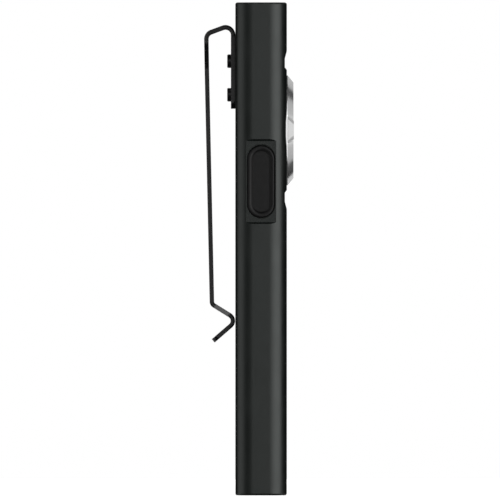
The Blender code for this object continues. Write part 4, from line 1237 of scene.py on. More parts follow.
def strip_tree() -> GeometryTree:
    """Makes the tree that sweeps a flat strip along a line whose points carry its half width.

    Returns:
        The tree.
    """
    kinds = {
        "Thickness": SocketKind.FLOAT,
        "Edge Radius": SocketKind.FLOAT,
        "Finish": SocketKind.MATERIAL,
    }
    tree = GeometryTree("strip_on_a_line", kinds)
    nodes, given = tree.nodes, tree.given
    line = nodes.add("GeometryNodeMeshToCurve", {"Mesh": given["Geometry"]}).outputs[0]
    side = given["Thickness"]
    inputs = {"Width": side, "Height": side}
    square = nodes.add("GeometryNodeCurvePrimitiveQuadrilateral", inputs).outputs[0]
    inputs = {"Curve": square, "Radius": given["Edge Radius"], "Count": 4, "Limit Radius": True}
    profile = nodes.add("GeometryNodeFilletCurve", inputs, mode="POLY").outputs[0]
    inputs = {"Curve": line, "Profile Curve": profile, "Fill Caps": True}
    swept = nodes.add("GeometryNodeCurveToMesh", inputs).outputs[0]
    carried = nodes.add("GeometryNodeInputNamedAttribute", {"Name": HALF_WIDTH}, data_type="FLOAT")
    grown = nodes.maths("SUBTRACT", carried.outputs[0], nodes.maths("MULTIPLY", side, 0.5))
    across = nodes.parts(nodes.add("GeometryNodeInputPosition").outputs[0])["Y"]
    shift = nodes.maths("MULTIPLY", nodes.maths("SIGN", across), grown)
    offset = nodes.add("ShaderNodeCombineXYZ", {"Y": shift}).outputs[0]
    wide = nodes.add("GeometryNodeSetPosition", {"Geometry": swept, "Offset": offset})
    tree.close(wide.outputs[0], "Finish")
    return tree


# The light's sub-assemblies


def end_outline(inset: float) -> Outline:
    """The outline of the plates that close the tube's two ends, moved in by an inset."""
    half_x, half_y, radius = END_PLATE
    return rounded_outline(half_x - inset, half_y - inset, radius - inset)


@dataclass
class BodyTube:
    """The extruded tube, and the seat, grooves, flat, port and holes that are cut into it."""

    half_x: float = 7.25 * MM
    half_y: float = 17.5 * MM
    corner_x: float = 5.0 * MM
    corner_y: float = 3.0 * MM
    corner_steps: int = 28
    end_radius: float = 0.6 * MM
    end_steps: int = 12
    bore: tuple[float, float, float] = (5.65 * MM, 15.3 * MM, 2.0 * MM)  # half x, half y, corner
    seat_radius: float = 15.65 * MM
    seat_floor: float = 6.55 * MM
    seat_steps: int = 192
    spindle_hole: float = 3.0 * MM
    groove_depth: float = 0.56 * MM
    groove_offsets: tuple[float, float, float, float] = (16.9 * MM, 17.6 * MM, 20.2 * MM, 22.3 * MM)
    groove_fillet: float = 0.6 * MM
    flat_y: float = 17.25 * MM
    flat_ends: tuple[float, float] = (76.9 * MM, 99.68 * MM)
    flat_run_out: float = 0.55 * MM
    flat_fillet: float = 0.15 * MM
    flat_slack: float = 0.02 * MM
    run_out_tilt: float = 0.1  # the least Z that a run-out's normal has
    recess: tuple[float, float] = (4.05 * MM, 10.5 * MM)
    recess_floor: float = 16.25 * MM
    socket_hole: tuple[float, float] = (1.75 * MM, 4.63 * MM)
    anchor_hole: float = 1.2 * MM
    screw_hole: float = 1.3 * MM
    edge: float = 0.1 * MM
    sharp_angle: float = 9.0

    def outline_at(self, inset: float) -> Outline:
        """The tube's section, moved in by an inset."""
        sizes = (self.half_x, self.half_y, self.corner_x, self.corner_y)
        return rounded_outline(*(size - inset for size in sizes), self.corner_steps)

    def groove(self, side: int) -> bmesh.types.BMesh:
        """Shapes a cross groove beside the dial, with eased floor corners.

        Args:
            side: 1 above the dial, -1 below it.

        Returns:
            The shape to cut away.
        """
        start, floor_start, floor_end, end = self.groove_offsets
        floor = self.half_x - self.groove_depth
        ramp = self.groove_depth / (floor_start - start) * PAST
        far_ramp = self.groove_depth / (end - floor_end) * PAST
        corners = [
            (self.half_x + ramp, start - PAST, 0.0),
            (floor, floor_start, self.groove_fillet),
            (floor, floor_end, self.groove_fillet),
            (self.half_x + far_ramp, end + PAST, 0.0),
        ]
        section = [(a, DIAL_CENTRE[2] + side * b) for a, b in filleted(corners)]
        return prism(section, Axis.Y, -self.half_y - PAST, self.half_y + PAST)

    def milled_flat(self) -> bmesh.types.BMesh:
        """Shapes the flat round the port, whose ends run out as the cutter leaves them.

        Returns:
            The shape to cut away.
        """
        low, high = self.flat_ends
        run = self.flat_run_out / (self.half_y - self.flat_y) * PAST
        corners = [
            (-self.flat_y, low, self.flat_fillet),
            (-self.flat_y, high, self.flat_fillet),
            (-self.flat_y - PAST, high + run, 0.0),
            (-self.flat_y - PAST, low - run, 0.0),
        ]
        return prism(filleted(corners, steps=3), Axis.X, -self.half_x, self.half_x)

    def is_milled(self, centre: Vector, normal: Vector) -> bool:
        """Tells whether a face belongs to the flat round the port, or to its run-outs.

        Args:
            centre: The face's centre.
            normal: Its normal.

        Returns:
            Whether it is milled.
        """
        low, high = self.flat_ends
        near = low - self.flat_run_out < centre.z < high + self.flat_run_out
        floor = normal.y < -STRAIGHT and abs(centre.y + self.flat_y) < self.flat_slack
        run_out = centre.y < self.flat_slack - self.flat_y and abs(normal.z) > self.run_out_tilt
        return near and (floor or run_out)

    def build(self, finisher: Finisher) -> None:
        """Makes the tube.

        Args:
            finisher: The source of the materials.
        """
        levels = edge_levels(self.end_radius, 0.0, LENGTH, self.end_steps)
        tube = Piece("body_tube", stack(self.outline_at, levels, Axis.Z))
        bore_x, bore_y, _ = self.bore
        seat = (0.0, DIAL_CENTRE[2])
        anchor = circle(self.anchor_hole, (0.0, ANCHOR_Z), HOLE_STEPS)
        outside, wall = -self.half_y - PAST, -bore_y + OVERLAP
        tube.cut(
            prism(rounded_outline(*self.bore), Axis.Z, -PAST, LENGTH + PAST),
            prism(
                circle(self.seat_radius, seat, self.seat_steps),
                Axis.X,
                self.seat_floor,
                self.half_x + PAST,
            ),
            prism(circle(self.spindle_hole, seat), Axis.X, 0.0, self.half_x),
            self.groove(1),
            self.groove(-1),
            self.milled_flat(),
            prism(slot_outline(*self.recess, PORT_Z), Axis.Y, outside, -self.recess_floor),
            prism(slot_outline(*self.socket_hole, PORT_Z), Axis.Y, outside, wall),
            prism(anchor, Axis.Y, outside, wall),
        )
        for height in CLIP_SCREW_HEIGHTS:
            hole = circle(self.screw_hole, (0.0, height), HOLE_STEPS)
            tube.cut(prism(hole, Axis.X, -self.half_x - PAST, -bore_x + OVERLAP))
        tube.break_edges(self.edge).smooth(self.sharp_angle).dress(finisher.of("body_anodised"))
        tube.dress_where(finisher.of("body_milled"), self.is_milled)
        tube.hand_over("body_anodised", Body.LIGHT, "housing")


@dataclass
class Dial:
    """The turning dial: a cone-sided disc with a dished face and a thumb bar across it."""

    radius: float = 15.45 * MM
    top_radius: float = 13.45 * MM
    base: float = 6.85 * MM
    rim: float = 7.49 * MM
    top: float = 9.12 * MM
    land: float = 0.9 * MM
    dish_depth: float = 0.57 * MM
    edge: float = 0.15 * MM
    spindle: tuple[float, float] = (2.0 * MM, 8.1 * MM)  # radius, top
    seal_groove: tuple[float, float, float] = (3.7 * MM, 5.1 * MM, 7.75 * MM)  # radii, top
    magnet: tuple[float, float, float] = (2.3 * MM, 9.5 * MM, 7.9 * MM)  # radius, offset, top
    magnet_steps: int = 48
    bar_base: float = 3.1 * MM
    bar_top: float = 1.74 * MM
    bar_start: float = 0.1 * MM  # above the rim, inside the disc
    bar_proud: float = 0.46 * MM
    bar_rise: float = 0.1 * MM
    bar_chamfer: float = 0.85 * MM
    bar_steps: int = 8
    steps: int = 192
    broken_edge: float = 0.08 * MM
    broken_angle: float = 28.0
    sharp_angle: float = 14.0

    def profile(self) -> Outline:
        """Lists the disc's profile, from the spindle's socket to the dish's middle.

        Returns:
            Its (radius, x) points.
        """
        spindle_radius, spindle_top = self.spindle
        seal_in, seal_out, seal_top = self.seal_groove
        dish_edge = self.top_radius - self.land
        return [
            (spindle_radius, spindle_top),
            (spindle_radius, self.base),
            (seal_in, self.base),
            (seal_in, seal_top),
            (seal_out, seal_top),
            (seal_out, self.base),
            (self.radius - self.edge, self.base),
            (self.radius, self.base + self.edge),
            (self.radius, self.rim),
            (self.top_radius, self.top),
            (dish_edge, self.top),
            (dish_edge - self.dish_depth, self.top - self.dish_depth),
        ]

    def bar_section(self, height: float) -> Ring:
        """Draws the thumb bar at one height: sloping sides, and ends just proud of the flank.

        Args:
            height: The height, along X.

        Returns:
            The ring of points.
        """
        slope = (self.bar_base - self.bar_top) / (self.top - self.rim)
        flank_slope = (self.radius - self.top_radius) / (self.top - self.rim)
        half_width = self.bar_top + slope * (self.top - height)
        reach = self.top_radius + self.bar_proud + flank_slope * (self.top - height)
        swing = math.asin(half_width / reach)
        flank = reach - self.bar_proud
        chamfer = half_width + self.bar_chamfer
        end = [
            (flank - self.bar_chamfer, -half_width),
            (flank * math.cos(chamfer / flank), -chamfer),
        ]
        mirrored = [(a, -b) for a, b in reversed(end)]
        for i in range(-self.bar_steps, self.bar_steps + 1):
            angle = swing * i / self.bar_steps
            end.append((reach * math.cos(angle), reach * math.sin(angle)))
        end += mirrored
        return [(height, side * a, DIAL_CENTRE[2] + side * b) for side in (1, -1) for a, b in end]

    def build(self, finisher: Finisher) -> None:
        """Makes the dial.

        Args:
            finisher: The source of the materials.
        """
        centre = (0.0, DIAL_CENTRE[2])
        dial = Piece(DIAL, turned(self.profile(), Axis.X, centre, self.steps))
        heights = (self.rim + self.bar_start, self.top + self.bar_rise)
        pocket_radius, offset, pocket_top = self.magnet
        pocket = circle(pocket_radius, (0.0, DIAL_CENTRE[2] + offset), self.magnet_steps)
        dial.join(loft([self.bar_section(height) for height in heights]))
        dial.cut(prism(pocket, Axis.X, 0.0, pocket_top))
        dial.break_edges(self.broken_edge, self.broken_angle).smooth(self.sharp_angle)
        dial.dress(finisher.of("polished_nickel"))
        dial.hand_over("polished_nickel", Body.DIAL, "dial")


@dataclass(frozen=True)
class ScrewKind:
    """A screw with a hexagon socket, its head's top at the origin and its head up along Z."""

    head_radius: float
    head_height: float
    shank_radius: float
    shank_length: float
    socket_radius: float
    socket_depth: float
    top_rounding: float
    countersunk: bool = False
    point: float = 0.15 * MM
    broken_edge: float = 0.05 * MM
    steps: int = 48
    rounding_steps: int = 4
    socket_sides: int = 6

    def shape(self) -> Piece:
        """Makes one screw, as a pattern for the others.

        Returns:
            The pattern.
        """
        rounding, foot = self.top_rounding, -self.head_height - self.shank_length
        rim = []
        for angle in quarter_turn(self.rounding_steps):
            inset, drop = rounding * (1 - math.cos(angle)), -rounding * (1 - math.sin(angle))
            rim.append((self.head_radius - inset, drop))
        profile = [
            (self.shank_radius - self.point, foot),
            (self.shank_radius, foot + self.point),
            (self.shank_radius, -self.head_height),
        ]
        if not self.countersunk:
            profile.append((self.head_radius, -self.head_height))
        screw = Piece("screw_pattern", turned(profile + rim, Axis.Z, (0.0, 0.0), self.steps))
        socket = circle(self.socket_radius, steps=self.socket_sides)
        screw.cut(prism(socket, Axis.Z, -self.socket_depth, CLEARANCE))
        screw.break_edges(self.broken_edge, angle=50.0, segments=1)
        return screw.smooth(angle=35.0, weighted=False)


@dataclass
class ScrewRow:
    """Screws of one kind at several places, each turned by its own chance angle."""

    name: str
    kind: ScrewKind
    places: list[Vec3]
    turn: Vec3
    seed: int
    spin: float = math.pi / 3  # the most that each is turned: a hexagon then looks the same again

    def build(self, finisher: Finisher, repeats: GeometryTree, *nodes: str) -> None:
        """Makes the screws.

        Args:
            finisher: The source of the materials.
            repeats: The tree that sets items at points.
            nodes: The solids that the screws stand for.
        """
        pattern = self.kind.shape()
        screws = Piece(self.name, loose_points(self.places))
        values = {"Item": pattern.thing, "Turn": self.turn, "Spin": self.spin, "Seed": self.seed}
        repeats.run(screws, **values, Finish=finisher.of("black_screw"))
        pattern.remove()
        screws.hand_over("black_screw", Body.LIGHT, *nodes)


@dataclass(frozen=True)
class Station:
    """A point on the clip's centre line, in x and z, with the strip's half width there."""

    x: float
    z: float
    half_width: float

    def distance(self, other: Station) -> float:
        """How far another station is."""
        return math.hypot(other.x - self.x, other.z - self.z)

    def towards(self, other: Station, share: float, half_width: float) -> Station:
        """A station part of the way to another, with a half width of its own."""
        x, z = self.x + share * (other.x - self.x), self.z + share * (other.z - self.z)
        return Station(x, z, half_width)


@dataclass
class Clip:
    """The pocket clip: one strip of spring steel bent to shape, and its two screws."""

    thickness: float = 1.25 * MM
    edge_radius: float = 0.1 * MM
    end_rounding: float = 1.5 * MM
    leg: float = 5.0 * MM
    arm: float = 3.5 * MM
    nose: float = 4.3 * MM
    spacing: float = 0.6 * MM
    bend_start: Vec3 = (-11.2 * MM, 0.0, 131.3 * MM)
    bend_end: Vec3 = (-13.69 * MM, 0.0, 131.05 * MM)
    screw_x: float = -9.55 * MM
    sharp_angle: float = 40.0
    screw: ScrewKind = ScrewKind(
        head_radius=1.91 * MM,
        head_height=1.14 * MM,
        shank_radius=1.0 * MM,
        shank_length=4.2 * MM,
        socket_radius=0.9 * MM,
        socket_depth=0.55 * MM,
        top_rounding=0.3 * MM,
    )

    def corners(self) -> list[tuple[float, float, float, float]]:
        """Lists the strip's corners, from the leg's end to the tip.

        Returns:
            The x, z, bend radius and half width of each.
        """
        corners = (
            (-7.88, 108.9, 0.0, self.leg),
            (-7.88, 132.76, 2.14, self.leg),
            (-15.44, 129.98, 2.05, self.leg),
            (-15.41, 127.0, 0.0, self.leg),
            (-15.301, 120.5, 0.0, self.arm),
            (-13.85, 53.75, 1.25, self.arm),
            (-6.68, 49.3, 1.86, self.nose),
            (-13.5, 43.4, 0.0, self.nose),
        )
        return [(x * MM, z * MM, radius * MM, width) for x, z, radius, width in corners]

    def bends(self, steps: int = 14) -> list[Station]:
        """Draws the centre line with its bends as arcs.

        Args:
            steps: Edges in each bend.

        Returns:
            The stations along it.
        """
        corners = self.corners()
        points = [Vector((x, z)) for x, z, _, _ in corners]
        stations = []
        for i, (x, z, radius, width) in enumerate(corners):
            arc = [(x, z)]
            if radius:
                arc = corner_arc(points[i - 1], points[i], points[i + 1], radius, steps)
            stations += [Station(a, b, width) for a, b in arc]
        return stations

    def route(self) -> list[Station]:
        """Sets the stations close enough together to bend, and rounds both ends in plan.

        Returns:
            The stations, from the leg's end to the tip.
        """
        rough = self.bends()
        even = [rough[0]]
        for start, end in zip(rough, rough[1:]):
            count = max(1, math.ceil(start.distance(end) / self.spacing))
            for i in range(1, count + 1):
                share = i / count
                width = start.half_width + share * (end.half_width - start.half_width)
                even.append(start.towards(end, share, width))
        return self.rounded(self.rounded(even)[::-1])[::-1]

    def rounded(self, stations: list[Station], steps: int = 6) -> list[Station]:
        """Rounds the corners of the first end.

        Args:
            stations: The stations.
            steps: Edges in each corner.

        Returns:
            The stations, with new ones in place of those inside the rounding.
        """
        first, rounding = stations[0], self.end_rounding
        last = next(station for station in stations if first.distance(station) > rounding)
        end = []
        for angle in quarter_turn(steps):
            share = rounding * (1 - math.cos(angle)) / first.distance(last)
            width = first.half_width - rounding * (1 - math.sin(angle))
            end.append(first.towards(last, share, width))
        return end + stations[stations.index(last) :]

    def centre_line(self) -> bpy.types.Mesh:
        """Makes the line that the strip is swept along.

        Returns:
            The line, whose points carry the strip's half width.
        """
        stations = self.route()
        bm = bmesh.new()
        verts = [bm.verts.new((station.x, 0.0, station.z)) for station in stations]
        for start, end in zip(verts, verts[1:]):
            bm.edges.new((start, end))
        line = to_mesh(STRIP, bm)
        widths = line.attributes.new(HALF_WIDTH, "FLOAT", "POINT")
        widths.data.foreach_set("value", [station.half_width for station in stations])
        return line

    def build(self, finisher: Finisher, strips: GeometryTree, repeats: GeometryTree) -> None:
        """Makes the strip and its screws.

        Args:
            finisher: The source of the materials.
            strips: The tree that sweeps a strip along a line.
            repeats: The tree that sets items at points.
        """
        values = {"Thickness": self.thickness, "Edge_Radius": self.edge_radius}
        steel = finisher.of("clip_spring_steel")
        strip = strips.run(Piece(STRIP, self.centre_line()), **values, Finish=steel)
        strip.smooth(self.sharp_angle)
        bend = Bend(Body.LIGHT, Body.CLIP, self.bend_start, self.bend_end)
        strip.hand_over("clip_spring_steel", bend, "clip_leg", "clip_arm")
        places = [(self.screw_x, 0.0, height) for height in CLIP_SCREW_HEIGHTS]
        row = ScrewRow("clip_screws", self.screw, places, turn=(0.0, -math.pi / 2, 0.0), seed=3)
        row.build(finisher, repeats, "clip_screw_1", "clip_screw_2")


@dataclass
class Port:
    """The rubber cover over the charging port, and the socket behind it."""

    half_width: float = 3.88 * MM
    half_length: float = 10.28 * MM
    back: float = 16.35 * MM
    back_edge: float = 0.1 * MM
    face: float = 17.25 * MM
    pad: float = 17.4 * MM
    rim: float = 1.2 * MM
    rim_slope: float = 0.31 * MM
    edge: float = 0.42 * MM
    edge_depth: float = 0.75 * MM
    edge_steps: int = 6
    end_ease: float = 0.18 * MM
    groove: float = 0.16 * MM
    pad_edge: float = 0.4 * MM
    spine: float = 0.7 * MM  # half the width of the strip down the middle of the two faces
    rows: int = 26
    end_steps: int = 40
    hinge: tuple[float, float] = (81.2 * MM, 82.4 * MM)
    plug: tuple[float, float] = (1.55 * MM, 4.3 * MM)
    plug_end: float = 15.3 * MM
    stem: float = 0.9 * MM
    bulb: tuple[float, float, float] = (1.45 * MM, 15.0 * MM, 0.6 * MM)  # radius, y, thickness
    bulb_taper: float = 0.2 * MM
    root: float = 0.2 * MM  # how deep the plug and the stem start inside the cover
    socket: tuple[float, float] = (1.6 * MM, 4.5 * MM)
    socket_mouth: float = 15.0 * MM
    socket_depth: float = 7.3 * MM
    socket_edge: float = 0.1 * MM
    broken_edge: float = 0.04 * MM
    shell: float = 0.3 * MM
    tongue: tuple[float, float] = (0.35 * MM, 3.3 * MM)
    moulded_slack: float = 0.05 * MM
    contact_pitch: float = 0.5 * MM
    contacts: int = 12
    contact_size: tuple[float, float, float] = (0.02 * MM, 0.12 * MM, 2.6 * MM)
    contact_chamfer: tuple[float, float] = (0.04 * MM, 0.1 * MM)
    contact_offset: tuple[float, float] = (0.01 * MM, 0.3 * MM)

    def outline_at(self, inset: float) -> Outline:
        """Draws the cover's outline, moved in, and a little more so at its rounded ends.

        Args:
            inset: How far it is moved in.

        Returns:
            The outline.
        """
        ease = min(self.end_ease, self.end_ease * inset / self.edge)
        half_width, half_length = self.half_width - inset, self.half_length - inset - ease
        return slot_outline(half_width, half_length, PORT_Z, self.end_steps, self.rows)

    def levels(self) -> list[tuple[float, float]]:
        """Lists the cover's levels, from the middle of its back to the middle of its pad.

        Returns:
            The inset and y of each.
        """
        inner = self.half_width - self.spine
        rim_edge = []
        for angle in quarter_turn(self.edge_steps):
            depth = self.edge_depth * (1 - math.sin(angle))
            rim_edge.append((self.edge * (1 - math.cos(angle)), depth - self.face))
        return [
            (inner, -self.back),
            (self.back_edge, -self.back),
            (0.0, -self.back - self.back_edge),
            *rim_edge,
            (self.rim - self.rim_slope, -self.face),
            (self.rim, self.groove - self.face),
            (self.rim + self.pad_edge, -self.pad),
            (inner, -self.pad),
        ]

    def build_cover(self, finisher: Finisher) -> None:
        """Makes the cover in one piece with its plug and its anchor.

        Args:
            finisher: The source of the materials.
        """
        cover = Piece("port_seal", stack(self.outline_at, self.levels(), Axis.Y, ladder=True))
        inside = -self.back - self.root
        bulb_radius, bulb_y, bulb_thickness = self.bulb
        anchor = [
            (self.stem, inside),
            (self.stem, -bulb_y),
            (bulb_radius, -bulb_y),
            (bulb_radius - self.bulb_taper, -bulb_y + bulb_thickness),
        ]
        cover.join(
            prism(slot_outline(*self.plug, PORT_Z), Axis.Y, inside, -self.plug_end),
            turned(anchor, Axis.Y, (0.0, ANCHOR_Z), HOLE_STEPS),
        )
        cover.smooth(weighted=False).dress(finisher.of("black_rubber"))
        start, end = ((0.0, -self.pad, height) for height in self.hinge)
        bend = Bend(Body.LIGHT, Body.FLAP, start, end)
        cover.hand_over("black_rubber", bend, "port_cover", "port_cover_anchor")

    def socket_ends(self) -> tuple[float, float, float]:
        """The y of the socket's mouth, of its tongue's start and of its back."""
        mouth = -self.socket_mouth
        return mouth, mouth + 2 * self.shell, mouth + self.socket_depth

    def socket_outline(self, inset: float) -> Outline:
        """The socket's outline, moved in by an inset."""
        half_x, half_z = self.socket
        return slot_outline(half_x - inset, half_z - inset, PORT_Z)

    def is_moulded(self, centre: Vector, normal: Vector) -> bool:
        """Tells whether a face of the socket is its black tongue or its inner end.

        Args:
            centre: The face's centre.
            normal: Its normal.

        Returns:
            Whether it is moulded.
        """
        _, tongue_start, back = self.socket_ends()
        half_x, half_z = (half + self.moulded_slack for half in self.tongue)
        on_tongue = abs(centre.x) < half_x and abs(centre.z - PORT_Z) < half_z
        inside = tongue_start - self.moulded_slack < centre.y < back - self.moulded_slack
        return inside and (on_tongue or normal.y < -FACING)

    def build_socket(self, finisher: Finisher) -> None:
        """Makes the socket's shell and tongue.

        Args:
            finisher: The source of the materials.
        """
        mouth, tongue_start, back = self.socket_ends()
        levels = ((self.socket_edge, mouth), (0.0, mouth + self.socket_edge), (0.0, back))
        socket = Piece("socket_shell", stack(self.socket_outline, levels, Axis.Y))
        opening = self.socket_outline(self.shell)
        socket.cut(prism(opening, Axis.Y, mouth - CLEARANCE, back - 2 * self.shell))
        half_x, half_z = self.tongue
        tongue = rectangle(-half_x, half_x, PORT_Z - half_z, PORT_Z + half_z)
        socket.join(prism(tongue, Axis.Y, tongue_start, back - self.shell))
        socket.break_edges(self.broken_edge, angle=50.0, segments=1).smooth()
        socket.dress(finisher.of("plain_steel"))
        socket.dress_where(finisher.of("black_plastic"), self.is_moulded)
        socket.hand_over("plain_steel", Body.LIGHT, "charging_socket")

    def contact_outline(self, inset: float) -> Outline:
        """A contact's outline, with its sides moved in by an inset."""
        half_x, half_z, _ = self.contact_size
        return rectangle(-half_x, half_x, -half_z + inset, half_z - inset)

    def build_contacts(self, finisher: Finisher, repeats: GeometryTree) -> None:
        """Makes the two rows of contacts on the tongue.

        Args:
            finisher: The source of the materials.
            repeats: The tree that sets items at points.
        """
        inset, rise = self.contact_chamfer
        levels = ((inset, 0.0), (0.0, rise), (0.0, self.contact_size[2]))
        pattern = Piece("contact_pattern", stack(self.contact_outline, levels, Axis.Y))
        _, tongue_start, _ = self.socket_ends()
        x, y = self.tongue[0] + self.contact_offset[0], tongue_start + self.contact_offset[1]
        middle = (self.contacts - 1) / 2
        heights = [PORT_Z + self.contact_pitch * (i - middle) for i in range(self.contacts)]
        points = [(side * x, y, height) for side in (1, -1) for height in heights]
        contacts = Piece("socket_contacts", loose_points(points))
        values = {"Item": pattern.thing, "Turn": (0.0, 0.0, 0.0), "Spin": 0.0, "Seed": 1}
        repeats.run(contacts, **values, Finish=finisher.of("brass"))
        pattern.remove()
        contacts.hand_over("brass", Body.LIGHT)


@dataclass
class TailEnd:
    """The flush end plug of the tail and its two countersunk screws."""

    thickness: float = 3.0 * MM
    edge: float = 0.25 * MM
    broken_edge: float = 0.06 * MM
    screw_y: float = 9.5 * MM
    screw_sink: float = 0.1 * MM
    seat: tuple[float, float] = (2.1 * MM, 1.3 * MM)  # radius, depth
    seat_slack: float = 0.3 * MM
    screw_hole: float = 1.3 * MM
    hole_steps: int = 64
    screw: ScrewKind = ScrewKind(
        head_radius=1.8 * MM,
        head_height=1.1 * MM,
        shank_radius=1.0 * MM,
        shank_length=5.2 * MM,
        socket_radius=0.85 * MM,
        socket_depth=0.7 * MM,
        top_rounding=0.08 * MM,
        countersunk=True,
    )

    def build(self, finisher: Finisher, repeats: GeometryTree) -> None:
        """Makes the plug and its screws.

        Args:
            finisher: The source of the materials.
            repeats: The tree that sets items at points.
        """
        levels = ((self.edge, 0.0), (0.0, self.edge), (0.0, self.thickness))
        plug = Piece("tail_plug", stack(end_outline, levels, Axis.Z))
        seat_radius, seat_depth = self.seat
        hole = [
            (seat_radius, -CLEARANCE),
            (seat_radius, self.screw_sink),
            (self.screw_hole, seat_depth + self.seat_slack),
            (self.screw_hole, self.thickness + CLEARANCE),
        ]
        for side in (1, -1):
            plug.cut(turned(hole, Axis.Z, (0.0, side * self.screw_y), self.hole_steps))
        plug.break_edges(self.broken_edge, angle=40.0).smooth()
        plug.dress(finisher.of("body_anodised"))
        plug.hand_over("body_anodised", Body.LIGHT, "tail_cap")
        places = [(0.0, side * self.screw_y, self.screw_sink) for side in (1, -1)]
        row = ScrewRow("tail_screws", self.screw, places, turn=(math.pi, 0.0, 0.0), seed=5)
        row.build(finisher, repeats, "tail_screw_1", "tail_screw_2")


@dataclass
class HeadEnd:
    """The bezel with its screws, the window behind it and the lens array under that."""

    thickness: float = 2.7 * MM
    edge: float = 0.25 * MM
    broken_edge: float = 0.05 * MM
    aperture: tuple[float, float, float] = (3.9 * MM, 11.9 * MM, 3.2 * MM)  # halves, corner
    flare: float = 0.45 * MM
    pocket: tuple[float, float, float] = (4.6 * MM, 12.6 * MM, 3.9 * MM)
    lip: float = 0.6 * MM
    corner_steps: int = 20
    screw_y: float = 13.8 * MM
    screw_sink: float = 0.15 * MM
    screw_hole: tuple[float, float, float] = (0.8 * MM, 1.1 * MM, 0.95 * MM)  # radii, head depth
    hole_steps: int = 48
    window: tuple[float, float, float] = (4.3 * MM, 12.3 * MM, 3.6 * MM)
    window_ends: tuple[float, float] = (136.8 * MM, 137.8 * MM)
    window_edge: float = 0.12 * MM
    flange_ends: tuple[float, float] = (134.6 * MM, 135.6 * MM)
    flange_edge: float = 0.1 * MM
    lens_pitch: float = 8.2 * MM
    lens_foot: tuple[float, float] = (2.5 * MM, 130.6 * MM)  # radius, height
    lens_radius: float = 3.7 * MM
    lens_steps: int = 72
    cone_steps: int = 12
    dish: tuple[float, float, float, float] = (3.3 * MM, 2.2 * MM, 0.25 * MM, 0.45 * MM)
    led_room: tuple[float, float, float, float] = (1.95 * MM, 0.9 * MM, 0.3 * MM, 131.8 * MM)
    screw: ScrewKind = ScrewKind(
        head_radius=0.9 * MM,
        head_height=0.7 * MM,
        shank_radius=0.6 * MM,
        shank_length=11.2 * MM,
        socket_radius=0.45 * MM,
        socket_depth=0.4 * MM,
        top_rounding=0.12 * MM,
    )

    def aperture_outline(self, inset: float) -> Outline:
        """The bezel's opening, moved in by an inset."""
        half_x, half_y, radius = (size - inset for size in self.aperture)
        return rounded_outline(half_x, half_y, radius, steps=self.corner_steps)

    def window_outline(self, inset: float) -> Outline:
        """The window's outline, moved in by an inset."""
        half_x, half_y, radius = (size - inset for size in self.window)
        return rounded_outline(half_x, half_y, radius, steps=self.corner_steps)

    def build_bezel(self, finisher: Finisher, repeats: GeometryTree) -> None:
        """Makes the bezel and its screws.

        Args:
            finisher: The source of the materials.
            repeats: The tree that sets items at points.
        """
        low = LENGTH - self.thickness
        below, above = low - CLEARANCE, LENGTH + CLEARANCE
        levels = ((0.0, low), (0.0, LENGTH - self.edge), (self.edge, LENGTH))
        bezel = Piece("head_plate", stack(end_outline, levels, Axis.Z))
        flare = self.flare
        wide = -flare - CLEARANCE
        opening = ((0.0, below), (0.0, LENGTH - flare), (-flare, LENGTH), (wide, above))
        pocket = rounded_outline(*self.pocket, steps=self.corner_steps)
        bezel.cut(
            stack(self.aperture_outline, opening, Axis.Z),
            prism(pocket, Axis.Z, below, LENGTH - self.lip),
        )
        shank, head, depth = self.screw_hole
        hole = [(shank, below), (shank, LENGTH - depth), (head, LENGTH - depth), (head, above)]
        for side in (1, -1):
            bezel.cut(turned(hole, Axis.Z, (0.0, side * self.screw_y), self.hole_steps))
        bezel.break_edges(self.broken_edge, angle=40.0).smooth()
        bezel.dress(finisher.of("body_anodised"))
        bezel.hand_over("body_anodised", Body.LIGHT, "head_bezel")
        height = LENGTH - self.screw_sink
        places = [(0.0, side * self.screw_y, height) for side in (1, -1)]
        row = ScrewRow("head_screws", self.screw, places, turn=(0.0, 0.0, 0.0), seed=7)
        row.build(finisher, repeats, "bezel_screw_1", "bezel_screw_2")

    def build_window(self, finisher: Finisher) -> None:
        """Makes the window, with its edges ground.

        Args:
            finisher: The source of the materials.
        """
        levels = edge_levels(self.window_edge, *self.window_ends, steps=1)
        pane = Piece("window_pane", stack(self.window_outline, levels, Axis.Z))
        pane.smooth().dress(finisher.of("window_glass"))
        pane.hand_over("window_glass", Body.LIGHT, "lens_window")

    def cone(self) -> Outline:
        """Lists the profile of the collecting cone, from its foot into the flange.

        Returns:
            Its (radius, height) points.
        """
        foot_radius, foot = self.lens_foot
        flange = self.flange_ends[0]
        points = []
        for step in range(self.cone_steps + 1):
            share = step / self.cone_steps
            swell = math.sin(share * math.pi / 2)
            radius = foot_radius + (self.lens_radius - foot_radius) * swell
            points.append((radius, foot + share * (flange - foot)))
        return points + [(self.lens_radius, flange + OVERLAP)]

    def build_lenses(self, finisher: Finisher) -> None:
        """Makes the lens array: a flange, with a cone and a dished front over each LED.

        Args:
            finisher: The source of the materials.
        """
        levels = edge_levels(self.flange_edge, *self.flange_ends, steps=1)
        lenses = Piece("lens_cluster", stack(self.window_outline, levels, Axis.Z))
        foot, front = self.lens_foot[1], self.flange_ends[1]
        rim, floor, rim_drop, floor_drop = self.dish
        dish = [(rim, front + CLEARANCE), (rim, front - rim_drop), (floor, front - floor_drop)]
        wall, roof, bevel, top = self.led_room
        room = [(wall, foot - CLEARANCE), (wall, top - bevel), (roof, top)]
        for i in (-1, 0, 1):
            centre = (0.0, i * self.lens_pitch)
            lenses.join(turned(self.cone(), Axis.Z, centre, self.lens_steps))
            lenses.cut(
                turned(room, Axis.Z, centre, self.hole_steps),
                turned(dish, Axis.Z, centre, self.lens_steps),
            )
        lenses.smooth(angle=25.0).dress(finisher.of("clear_optic"))
        lenses.hand_over("clear_optic", Body.LIGHT, "optic_array")


# The studio


